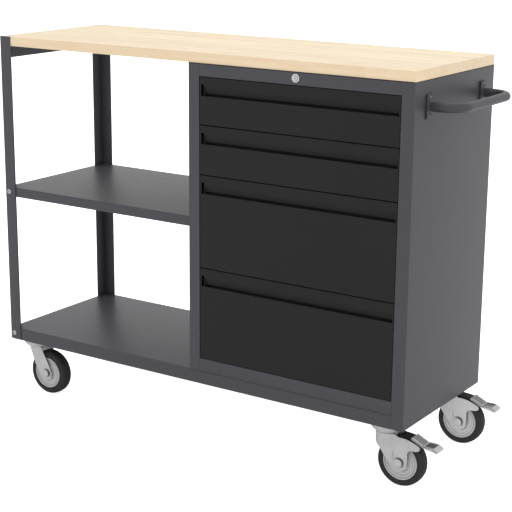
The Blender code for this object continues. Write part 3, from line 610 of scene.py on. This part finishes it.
for face, s in (("front", -1), ("rear", 1)):
    for row in ("base", "mid"):
        node = "post_bolt_%s_%s" % (face, row)
        lo, hi = B(node)
        cx, cz = (lo.x + hi.x) / 2, (lo.z + hi.z) / 2
        y = lo.y if s < 0 else hi.y
        h = 2.7
        bm = button((cx, y - s * h, cz), "Y", s, (hi.x - lo.x) / 2, h, 2.3)
        a, b = sorted((y - s * (h - 0.2), y - s * 11.2))
        rod((cx, 0, cz), "Y", 3.0, a, b, 24, bm)
        make("screw_post_%s_%s" % (face, row), bm, M_BOLT, "frame", node, 0.15, 2, 40)

# -------------------------------------------------------------------- drawers
TD = 1.2
K = TD / 2
for i in range(1, 5):
    node = "drawer_%d_front" % i
    lo, hi = B(node)
    x0, x1, y0, z0, z1 = lo.x, hi.x, lo.y, lo.z, hi.z
    yb = hi.y
    gt, gl = z1 - 18.0, z1 - 46.5
    up = gt + 3.4
    shell = cube(x0, x1, y0, yb, z0, z1)
    rim = [e for e in shell.edges if all(abs(v.co.y - y0) < 1e-4 for v in e.verts)]
    bmesh.ops.bevel(shell, geom=rim, offset=1.5, segments=4, profile=0.5, affect="EDGES",
                    clamp_overlap=True)
    bmesh.ops.recalc_face_normals(shell, faces=shell.faces)
    body = carve(shell, [cube(x0 + TD, x1 - TD, y0 + TD, yb + 5, z0 + TD, z1 - TD),
                         cube(x0 + 4.8, x1 - 3.0, y0 - 5, y0 + TD + 2, gl, gt),
                         cube(x0 + 13.2, x1 - 3.4, y0 - 5, y0 + TD + 2, gt - 1, up)])
    path = [(y0 + K, up), (y0 + K, gt - 0.5), (y0 + 6.2, gl + 5.6), (y0 + 10.2, gl + 5.4)]
    sec = fold(path, TD, 0.5, 6, {1: 12.0, 2: 1.2})
    scoop = prism(sec, "X", x0 + 13.2, x1 - 3.4)
    cheek_end = prism([(y0 + 0.25, gl + 0.1), (y0 + 9.0, gl + 0.1), (y0 + 9.0, gt + 2.0), (y0 + 0.25, gt + 2.0)], "X",
                      x0 + 13.0, x0 + 14.2)
    body = carve(body, [scoop, cheek_end, cube(x0 + 2, x1 - 2, y0 + 0.6, y0 + 2.0, gl - TD, gl)], "UNION")
    make("drawer_front_%d" % i, body, M_DRAWER, "drawer_%d" % i, node, 0.35, 2, 40)
    # near-black sheet behind the grip gap: painted shade that makes the dark line under the flap
    shade_sheet = prism(rounded([(y0 + 2.4, gl - 9.0), (y0 + 13.6, gl - 9.0), (y0 + 13.6, up + 4.0), (y0 + 12.8, up + 4.0),
                            (y0 + 12.8, gl - 8.2), (y0 + 2.4, gl - 8.2)], 0.3, 2), "X", x0 + 2.0, x1 - 2.0)
    make("drawer_lining_%d" % i, shade_sheet, M_SHADE_SHEET, "drawer_%d" % i, (), 0.12, 1, 40)
    keep("drawer_%d_box" % i, M_INNER, 0.3)
    for side in ("left", "right"):
        keep("runner_%d_%s" % (i, side), M_ZINC, 0.2)

# ----------------------------------------------------------------------- lock
lx, lz = lock_c.x, lock_c.z
y0 = lock_lo.y
yf = y0 + 2.2
r_f = (lock_hi.x - lock_lo.x) / 2
prof = soft([(6.3, y0 + 1.0), (7.4, y0), (r_f - 1.2, y0), (r_f, y0 + 1.0), (r_f, yf), (9.0, yf),
             (9.0, lock_hi.y), (6.3, lock_hi.y)], 0.35, 3, True)
make("lock_ring", lathe(prof, (lx, 0, lz), "Y", 72), M_LOCK, "frame", "lock_housing", sharp=50)
plug = rod((lx, 0, lz), "Y", 5.9, y0 - 0.4, lock_hi.y + 2, 64)
plug = carve(plug, [cube(lx - 0.7, lx + 0.7, y0 - 3, y0 + 8, lz - 3.6, lz + 3.6),
                    cube(lx - 1.3, lx + 1.3, y0 - 3, y0 + 8, lz - 1.2, lz + 1.2)])
make("lock_face", plug, M_LOCK, "lock_cylinder", "lock_plug", 0.25, 2, 40)
keep("lock_shaft", M_ZINC, 0.2)
keep("lock_bar", M_ZINC, 0.3)

# --------------------------------------------------------------------- handle
lo, hi = B("handle_tube")
TR = (hi.z - lo.z) / 2
zc = (hi.z + lo.z) / 2
BR = 45.0
xa, xb = lo.x, hi.x - TR
ya, yb = lo.y + TR, hi.y - TR
path = [Vector((xa, ya, zc))]
NB = 18
for k in range(NB + 1):
    a = math.radians(-90 + 90.0 * k / NB)
    path.append(Vector((xb - BR + BR * math.cos(a), ya + BR + BR * math.sin(a), zc)))
for k in range(NB + 1):
    a = math.radians(90.0 * k / NB)
    path.append(Vector((xb - BR + BR * math.cos(a), yb - BR + BR * math.sin(a), zc)))
path.append(Vector((xa, yb, zc)))
bm = bmesh.new()
SEG = 48
rings = []
for i, p in enumerate(path):
    d0 = (p - path[i - 1]).normalized() if i else None
    d1 = (path[i + 1] - p).normalized() if i + 1 < len(path) else None
    d = ((d0 or d1) + (d1 or d0)).normalized()
    nrm = Vector((-d.y, d.x, 0))
    rings.append([bm.verts.new(p + nrm * TR * math.cos(t) + Vector((0, 0, TR * math.sin(t))))
                  for t in [2 * math.pi * k / SEG for k in range(SEG)]])
for a, b in zip(rings, rings[1:]):
    for k in range(SEG):
        bm.faces.new((a[k], b[k], b[(k + 1) % SEG], a[(k + 1) % SEG]))
bm.faces.new(rings[0][::-1])
bm.faces.new(rings[-1])
bmesh.ops.recalc_face_normals(bm, faces=bm.faces)
for y in (ya, yb):                       # weld bead where the tube meets its plate
    bead = [(TR - 0.6, -0.1), (TR + 1.8, -0.1), (TR + 1.7, 0.6), (TR + 1.1, 1.2), (TR + 0.5, 1.8),
            (TR - 0.6, 2.2)]
    lathe(bead, (xa, y, zc), "X", 48, True, bm)
make("handle_bar", bm, M_HANDLE, "frame", "handle_tube", sharp=50)
for label in ("front", "rear"):
    lo, hi = B("handle_plate_" + label)
    cy = (lo.y + hi.y) / 2
    cz = (lo.z + hi.z) / 2
    bm = prism(round_rect(lo.y, hi.y, lo.z, hi.z, 4.0, 6), "X", lo.x, hi.x)
    make("handle_foot_" + label, bm, M_HANDLE, "frame", "handle_plate_" + label,
         0.8, 3, 40)
    for tag, dz in (("top", 19.5), ("low", -19.5)):
        bm = button((hi.x - 0.1, cy, cz + dz), "X", 1, 5.2, 3.0, 2.0)
        make("handle_screw_%s_%s" % (label, tag), bm, M_SCREW, "frame", (), 0.15, 2, 40)


# -------------------------------------------------------------------- casters
def smooth01(t):
    t = max(0.0, min(1.0, t))
    return t * t * (3 - 2 * t)


CROWN_R = 28.2
CHEEK_Y = 22.0            # middle of the fork cheek from the wheel's middle plane
TOP = {True: -22.4, False: -19.4}   # top of the fork below the tray's lower edge


def cheek_depth(p, q, braked):
    """Distance of the cheek's middle surface from the wheel plane."""
    if not braked:
        return CHEEK_Y
    inside = CROWN_R ** 2 - p * p
    circ = math.sqrt(inside) if inside > 0 else 0.0
    if p < 0:
        s = smooth01((q + 64.0) / 18.0)
        flat_left = CHEEK_Y - 4.0 * smooth01((-p - 14.0) / 14.0)
        return flat_left + (circ - flat_left) * s
    return CHEEK_Y + (max(circ, CHEEK_Y) - CHEEK_Y) * smooth01((q + 64.0) / 38.0)


def cheek(sx, sy, z0, side, outline, braked, axle):
    bm = bmesh.new()
    bm.faces.new([bm.verts.new((p, 0.0, q)) for p, q in outline])
    ax, az = axle
    ks = [-CROWN_R * math.cos(math.radians(a)) for a in range(6, 90, 6)]
    ks += [2.7 * k for k in range(0, 38)]
    ks += [ax + 1.5 * k for k in range(-12, 13)]
    if braked:
        ks += [24.0, 24.8, 25.6, 26.4, 27.0, 27.6, 28.4, 29.2]
    cuts = [(Vector((v, 0, 0)), Vector((1, 0, 0))) for v in sorted(set(round(v, 2) for v in ks))]
    zs = [-24.0 - 2.9 * k for k in range(0, 31)] + [az + 1.5 * k for k in range(-12, 13)]
    cuts += [(Vector((0, 0, v)), Vector((0, 0, 1))) for v in sorted(set(round(v, 2) for v in zs))]
    for co, no in cuts:
        bmesh.ops.bisect_plane(bm, geom=list(bm.verts) + list(bm.edges) + list(bm.faces),
                               plane_co=co, plane_no=no, dist=1e-3)
    for v in bm.verts:
        p, q = v.co.x, v.co.z
        y = cheek_depth(p, q, braked)
        d = math.hypot(p - ax, q - az)
        if braked:
            w = smooth01(0.55 + 0.9 * ((p - ax) * 0.72 + (q - az) * 0.69) / max(d, 1.0))
            y -= 4.4 * w * (1 - smooth01((d - 10.8) / 4.4))     # pressed dimple above the axle cap
            c = math.exp(-((p - 26.8) / 1.5) ** 2) * smooth01((q + 92.0) / 8.0) * smooth01((-60.0 - q) / 12.0)
            y -= 3.0 * c                                        # pressed crease beside the axle
            y += 0.8 * smooth01((p - 64.0) / 6.0)               # raised field along the nose
        else:
            w = smooth01(0.6 + 0.9 * ((p - ax) * 0.8 + (q - az) * 0.6) / max(d, 1.0))
            y -= 2.8 * w * (1 - smooth01((d - 10.4) / 3.8))
        v.co.y = y
    bmesh.ops.triangulate(bm, faces=[f for f in bm.faces if len(f.verts) > 4])
    bmesh.ops.recalc_face_normals(bm, faces=bm.faces)
    mean = sum((f.normal.y * f.calc_area() for f in bm.faces))
    if mean < 0:
        bmesh.ops.reverse_faces(bm, faces=bm.faces)
    bmesh.ops.solidify(bm, geom=list(bm.faces), thickness=2.6)
    bm.normal_update()
    for f in bm.faces:
        if abs(f.normal.y) < 0.3 and f.calc_center_median().x > -12.0:
            f.material_index = 1                                # painted shade along the sheet's edge faces
    for v in bm.verts:
        v.co = Vector((sx + v.co.x, sy + side * v.co.y, z0 + v.co.z))
    bmesh.ops.recalc_face_normals(bm, faces=bm.faces)
    return bm


def arc(cx, cy, r, a0, a1, n):
    return [(cx + r * math.cos(math.radians(a0 + (a1 - a0) * i / n)),
             cy + r * math.sin(math.radians(a0 + (a1 - a0) * i / n))) for i in range(n + 1)]


def merge(bm, other):
    me = bpy.data.meshes.new("tmp")
    other.to_mesh(me)
    other.free()
    bm.from_mesh(me)
    bpy.data.meshes.remove(me)
    return bm


for name in ("front_left", "rear_left", "front_right", "rear_right"):
    braked = name.endswith("right")
    sw = AXIS["caster_swivel_" + name]
    hub = AXIS["wheel_spin_" + name]
    sx, sy = sw.x, sw.y
    z0 = bench_z                      # underside of the caster plate
    ax, az = hub.x - sx, hub.z - z0
    cb, wb = "caster_" + name, "wheel_" + name

    # plate, tall bearing dish and kingpin
    lo, hi = B("caster_plate_" + name)
    bm = prism(round_rect(lo.x, hi.x, lo.y, hi.y, 5.0, 6), "Z", z0, z0 + 3.0)
    if braked:
        dish = [(0, 1.5), (42.6, 1.5), (42.2, -6.0), (40.2, -11.0), (36.8, -16.0), (33.0, -19.4), (30.4, -21.2),
                (29.2, -21.8)]
    else:
        dish = [(0, 1.5), (42.0, 1.5), (42.0, -5.0), (41.0, -9.5), (38.2, -14.0), (34.0, -17.0), (29.6, -18.4),
                (27.6, -18.8)]
    zt = TOP[braked]
    merge(bm, lathe(soft(dish + [(7, dish[-1][1]), (7, zt - 5.4), (11, zt - 5.4), (11, zt - 7.8), (0, zt - 7.8)], 1.4, 4),
                    (sx, sy, z0), "Z", 96, False))
    reach = 21.0 if braked else 29.0
    for f in bm.faces:
        m = f.calc_center_median()
        if (m.x - sx) * 0.833 + (m.y - sy) * 0.553 > reach and m.z - z0 < -3.0:
            f.material_index = 1                                # painted shade: the dish's trailing lower flank gets the dark second material
    make("caster_head_" + name, bm, M_CASTER, "frame", "caster_plate_" + name, 0.4, 2, 50,
         extra=M_PAINTED_SHADE if braked else M_DARK)
    bm = bmesh.new()
    for p, q in ((-42, -31), (42, -31), (42, 31), (-42, 31)):
        x, y = sx + p, sy + q
        fy = z0 + 4.8
        prism([(x + a, y + b) for a, b in hex_pts(6.5)], "Z", fy + 1.2, fy + 6.2, bm)
        lathe([(0, fy), (8.2, fy), (8.2, fy + 1.2), (0, fy + 1.2)], (x, y, 0), "Z", 32, False, bm)
        lathe([(0, z0 - 0.1), (5.6, z0 - 0.1), (3.9, z0 + 2), (3.9, fy + 8.0), (0, fy + 8.0)], (x, y, 0), "Z", 32,
              False, bm)
    make("caster_bolts_" + name, bm, M_BOLT, "frame", (), 0.3, 2, 40)

    # fork: crown plate and two pressed cheeks
    if braked:
        crown = soft([(7.6, zt), (28.6, zt), (29.5, zt - 1.0), (29.5, zt - 3.6), (28.6, zt - 4.8),
                      (7.6, zt - 4.8)], 0.5, 3, True)
        fork = lathe(crown, (sx, sy, z0), "Z", 96)
        left = [(-27.6, zt), (-27.6, -38.0), (-25.0, -46.0), (-19.5, -52.5), (-14.3, -57.5), (-7.1, -66.5),
                (2.9, -80.9), (13.0, -93.0)]
        nose = [(66.0, -84.0), (65.8, -61.5), (73.0, -54.4), (88.0, -53.4), (96.0, -50.6), (99.8, -45.0),
                (96.5, -39.6), (87.0, -35.4), (78.5, -32.0), (69.0, -29.2), (57.0, -27.6), (40.0, -27.0),
                (32.0, zt)]
        low = arc(ax, az, 22.0, 207, 346, 14)
        pts = left + low + nose
        radii = [0.0, 8.0, 8.0, 10.0, 14.0, 20.0, 20.0, 8.0] + [0.0] * len(low) + \
                [4.0, 4.0, 4.0, 6.0, 5.0, 6.0, 6.0, 14.0, 14.0, 14.0, 20.0, 8.0, 2.0]
        outline = [(p.x, p.y) for p in rounded(pts, radii, 5)]
    else:
        plate = prism(rounded([(sx - 18.0, sy - 21.0), (sx + 26.0, sy - 21.0), (sx + 26.0, sy + 21.0),
                               (sx - 18.0, sy + 21.0)], 2.0, 4), "Z", z0 + zt - 4.8, z0 + zt)
        fork = carve(plate, [rod((sx, sy, z0), "Z", 7.6, zt - 9, zt + 4, 48)])
        left = [(-18.6, zt), (-8.7, -41.2), (1.7, -68.3), (12.5, -88.0)]
        low = arc(ax, az, 20.0, 207, 362, 16)
        pts = left + low + [(56.5, -76.5), (44.5, -53.0), (33.6, -34.4), (26.6, zt)]
        radii = [0.0, 30.0, 30.0, 20.0] + [0.0] * len(low) + [14.0, 30.0, 30.0, 0.0]
        outline = [(p.x, p.y) for p in rounded(pts, radii, 5)]
    for s in (-1, 1):
        merge(fork, cheek(sx, sy, z0, s, outline, braked, (ax, az)))
    make("caster_fork_shell_" + name, fork, M_FORK, cb, "caster_fork_" + name, 0.3, 2, 55,
         extra=M_PAINTED_SHADE)

    # axle bolt: cap on both faces standing on a dark collar whose colour is painted shade
    c = (hub.x, hub.y, hub.z)
    yo = CHEEK_Y + 1.3
    rn = 10.4 if braked else 10.2
    up = 2.8 if braked else 3.6
    bm = bmesh.new()
    rod(c, "Y", 5.9, -yo, yo, 32, bm)
    for s in (-1, 1):
        cap = soft([(0, s * (yo + up - 0.9)), (rn, s * (yo + up - 0.9)), (rn, s * (yo + up)),
                    (rn - 1.6, s * (yo + up + 1.2)), (6.0, s * (yo + up + 1.5)), (5.2, s * (yo + up + 0.7)),
                    (0, s * (yo + up + 0.7))], 0.5, 4)
        lathe(cap, c, "Y", 64, False, bm)
    make("caster_axle_bolt_" + name, bm, M_FORK, cb, "caster_axle_" + name, sharp=40)
    # the dark collar ring is painted shade around the cap, drawn in the dark shade steel
    bm = bmesh.new()
    for s in (-1, 1):
        ring = [(6.2, s * (yo - 5.0)), (rn - 0.3, s * (yo - 5.0)), (rn - 0.3, s * (yo + up - 1.0)),
                (6.2, s * (yo + up - 1.0))]
        lathe(soft(ring, 0.3, 2, True), c, "Y", 64, True, bm)
    make("caster_axle_seal_" + name, bm, M_PAINTED_SHADE, cb, (), sharp=50)

    # rim with pressed rings
    ro = 45.5 if braked else 43.4
    ho = 0.0 if braked else 2.4                  # the plain wheels have a slightly prouder rim
    hi_ = 0.8 * ho
    half = [(6.5, -17.4), (10.0, -17.4), (10.8, -17.0), (11.6, -14.2 - hi_), (13.2, -13.4 - hi_), (21.6, -13.0 - hi_),
            (22.4, -11.2 - hi_), (24.2, -11.2 - hi_), (25.2, -12.8 - hi_), (32.4, -13.2 - hi_), (33.2, -11.4 - hi_),
            (34.6, -11.4 - hi_), (35.4, -13.6 - hi_), (ro - 6.0, -14.2 - ho), (ro - 5.4, -11.0 - ho),
            (ro - 4.0, -11.0 - ho), (ro - 3.4, -15.0 - ho), (ro - 1.0, -15.3 - ho), (ro, -14.4 - ho)]
    prof = half + [(r, -h) for r, h in half[::-1]]
    make("wheel_disc_" + name, lathe(soft(prof, 0.5, 3, True), c, "Y", 96), M_RIM, wb,
         "wheel_rim_" + name, sharp=60)
    # tyre
    half = [(ro + 0.2, -13.2 - ho), (ro + 1.1, -14.6 - 0.8 * ho), (49.6, -16.0), (50.1, -15.6), (50.7, -16.2), (53.6, -16.8),
            (56.2, -16.7), (58.6, -15.4), (60.4, -13.2), (61.6, -10.0), (62.2, -6.0), (62.5, -2.0)]
    prof = half + [(r, -h) for r, h in half[::-1]]
    make("wheel_tyre_band_" + name, lathe(soft(prof, 0.7, 3, True), c, "Y", 128), M_TYRE, wb,
         "wheel_tyre_" + name, sharp=70)

    if braked:
        bb = "brake_" + name
        hw = 18.0

        def V(p, q):
            return Vector((sx + p, z0 + q))

        # dark arm running out from the crown
        arm = rounded([V(39.4, -28.2), V(39.8, -24.0), V(43.0, -23.4), V(58.0, -24.6), V(75.0, -27.2),
                       V(97.0, -37.2), V(97.0, -38.7), V(88.0, -33.2), V(81.0, -30.3), V(75.0, -28.5), V(66.0, -27.4),
                       V(58.0, -27.2), V(46.0, -27.8)],
                      [0.5, 0.8, 1.6, 12.0, 3.0, 0.4, 0.4, 2.0, 2.0, 2.0, 4.0, 4.0, 4.0], 4)
        make("brake_arm_" + name, prism(arm, "Y", sy - 16.5, sy + 16.5), M_DARK, bb, (), 1.2, 3, 40)
        # pressed pedal: ribbed pad, level window frame and dropped tip
        a, b, cc, dd = V(73.2, -24.0), V(103.0, -38.2), V(127.5, -37.9), V(141.0, -44.9)
        tp = 2.2
        d1, d3 = (b - a).normalized(), (dd - cc).normalized()
        n1 = Vector((-d1.y, d1.x))
        n1 = n1 if n1.y > 0 else -n1
        bm = prism(fold([a, b, b + (cc - b) * 0.1], tp, 3.0, 5), "Y", sy - hw, sy + hw)
        prism(fold([cc + d3 * 2.6, dd, dd + Vector((-0.2, -3.6))], tp, 1.2, 5), "Y", sy - hw, sy + hw, bm)
        for s in (-1, 1):
            y_a, y_b = sorted((sy + s * (hw - 3.2), sy + s * hw))
            prism(fold([b, cc, cc + d3 * 4.0], tp, 2.0, 4), "Y", y_a, y_b, bm)
            y_a, y_b = sorted((sy + s * (hw - 1.4), sy + s * hw))
            out = [V(73.4, -23.4), V(103.0, -37.4), V(127.5, -37.2), V(140.6, -44.2), V(140.6, -48.6), V(127.0, -46.0),
                   V(111.0, -43.9), V(101.0, -40.6), V(90.0, -33.6), V(73.4, -25.4)]
            prism(out, "Y", y_a, y_b, bm)
        ribs = []
        for k in range(1, 5):
            m = a + d1 * (3.4 + 5.9 * k)
            rib = [m - d1 * 1.7 + n1 * 0.6, m + d1 * 1.7 + n1 * 0.6, m + d1 * 1.0 + n1 * 2.0, m - d1 * 1.0 + n1 * 2.0]
            ribs.append(rib)
        hump = rounded([a + d1 * -0.6, a + d1 * 5.2, a + d1 * 4.4 + n1 * 3.9, a + d1 * 1.2 + n1 * 4.4],
                       [0.3, 0.3, 1.6, 1.6], 4)
        run = (b - a).length + 1.5
        for s in (-1, 1):                                       # slanted rims down both sides of the pad
            rim_sec = [(hw, -3.2), (hw - 1.5, -3.2), (hw - 5.6, 0.2), (hw - 5.4, 1.9), (hw - 4.0, 2.0), (hw, -2.4)]
            ends = []
            for t in (0.2, 0.6, run):
                k_ = 0.72 if t < 0.5 else 1.0
                ends.append([bm.verts.new((a.x + d1.x * t + n1.x * h * k_, sy + s * w_, a.y + d1.y * t + n1.y * h * k_))
                             for w_, h in rim_sec])
            for e0, e1 in zip(ends, ends[1:]):
                for k in range(len(rim_sec)):
                    j = (k + 1) % len(rim_sec)
                    bm.faces.new((e0[k], e1[k], e1[j], e0[j]))
            bm.faces.new(ends[0])
            bm.faces.new(ends[-1][::-1])
        bmesh.ops.recalc_face_normals(bm, faces=bm.faces)
        make("brake_pad_" + name, bm, M_FORK, bb, "brake_pedal_" + name, 0.3, 2, 40)
        # painted light: the front web takes the dark shade steel and the rear web the lighter web steel
        M_WEB_PAINTED_LIGHT = M_PAINTED_SHADE if name.startswith("front") else M_WEB
        # the tread plate under the ribs is darker: painted shade in the gaps between the ribs
        tread = [a + d1 * 1.2 + n1 * 0.9, a + d1 * 32.0 + n1 * 0.9, a + d1 * 32.0 + n1 * 1.6, a + d1 * 1.2 + n1 * 1.6]
        bm = prism(tread, "Y", sy - hw + 5.0, sy + hw - 5.0)
        for f in bm.faces:
            f.material_index = 1
        for rib in ribs:
            prism(rib, "Y", sy - hw + 4.6, sy + hw - 4.6, bm)
        prism(hump, "Y", sy - hw + 4.4, sy + hw - 4.4, bm)      # raised heel stop across the pad
        make("brake_tread_" + name, bm, M_WEB, bb, (), 0.15, 1, 40, extra=M_TREAD_SHADE)
        web = [V(104.0, -42.0), V(129.5, -42.6), V(129.5, -41.6), V(104.0, -41.0)]
        make("brake_web_" + name, prism(web, "Y", sy - hw + 1.6, sy + hw - 1.6), M_WEB_PAINTED_LIGHT, bb, (),
             0.15, 1, 40)

# ---------------------------------------------------------------- stage
floor_mat = Shader("m_floor")
drift = floor_mat.noise(2.0, 3.0, 0.5)
floor_mat.set(floor_mat.mix(floor_mat.span(drift, 0.3, 0.7, 0.0, 1.0), (0.95, 0.95, 0.95), (0.97, 0.97, 0.97)),
              0.9, 0.0, 0.0)
floor_mat.p.inputs["Emission Color"].default_value = (1.0, 1.0, 1.0, 1.0)
seen = floor_mat.t.nodes.new("ShaderNodeLightPath")
floor_mat.link(floor_mat.math("MULTIPLY", seen.outputs["Is Camera Ray"], 0.8), floor_mat.p.inputs["Emission Strength"])
me = bpy.data.meshes.new("floor")
S = 60.0
me.from_pydata([(-S, -S, -0.0005), (S, -S, -0.0005), (S, S, -0.0005), (-S, S, -0.0005)], [], [(0, 1, 2, 3)])
me.materials.append(floor_mat.mat)
floor = bpy.data.objects.new("floor", me)
scene.collection.objects.link(floor)

world = bpy.data.worlds.new("studio")
world.use_nodes = True
world.node_tree.nodes["Background"].inputs[0].default_value = (1.0, 1.0, 1.0, 1.0)
world.node_tree.nodes["Background"].inputs[1].default_value = 1.045
scene.world = world


def area(name, loc, target, size, power):
    d = bpy.data.lights.new(name, "AREA")
    d.shape = "SQUARE"
    d.size = size
    d.energy = power
    o = bpy.data.objects.new(name, d)
    o.location = loc
    o.rotation_mode = "QUATERNION"
    o.rotation_quaternion = (Vector(target) - Vector(loc)).to_track_quat("-Z", "Y")
    scene.collection.objects.link(o)
    return o


area("key_right", (5.0, -1.2, 2.6), (0.2, 0, 0.5), 3.4, 15.0)
low = area("under_soft", (0.545, -0.040, 0.078), (0.55, 0.16, 0.078), 0.09, 0.108)
low.visible_camera = False
area("top_soft", (0.4, -0.4, 4.6), (0, 0, 0.6), 3.4, 8.0)

# camera at the photo's angle
az, el, roll = 0.585622, 0.257158, 0.007961
fwd = Vector((-math.sin(az) * math.cos(el), math.cos(az) * math.cos(el), -math.sin(el)))
right = fwd.cross(Vector((0, 0, 1))).normalized()
upv = right.cross(fwd)
r2 = right * math.cos(roll) + upv * math.sin(roll)
u2 = upv * math.cos(roll) - right * math.sin(roll)
cam_data = bpy.data.cameras.new("camera")
cam_data.sensor_width = 36.0
cam_data.lens = 1390.5 * 36.0 / 512.0
cam_data.shift_x, cam_data.shift_y = 0.0011, 0.0
cam_data.clip_start, cam_data.clip_end = 0.05, 200.0
cam = bpy.data.objects.new("camera", cam_data)
m = Matrix.Identity(4)
for k in range(3):
    m[k][0], m[k][1], m[k][2] = r2[k], u2[k], -fwd[k]
m.translation = Vector((1.982947, -2.959419, 1.387788))
cam.matrix_world = m
scene.collection.objects.link(cam)
scene.camera = cam
scene.view_settings.view_transform = "Standard"
scene.view_settings.look = "None"
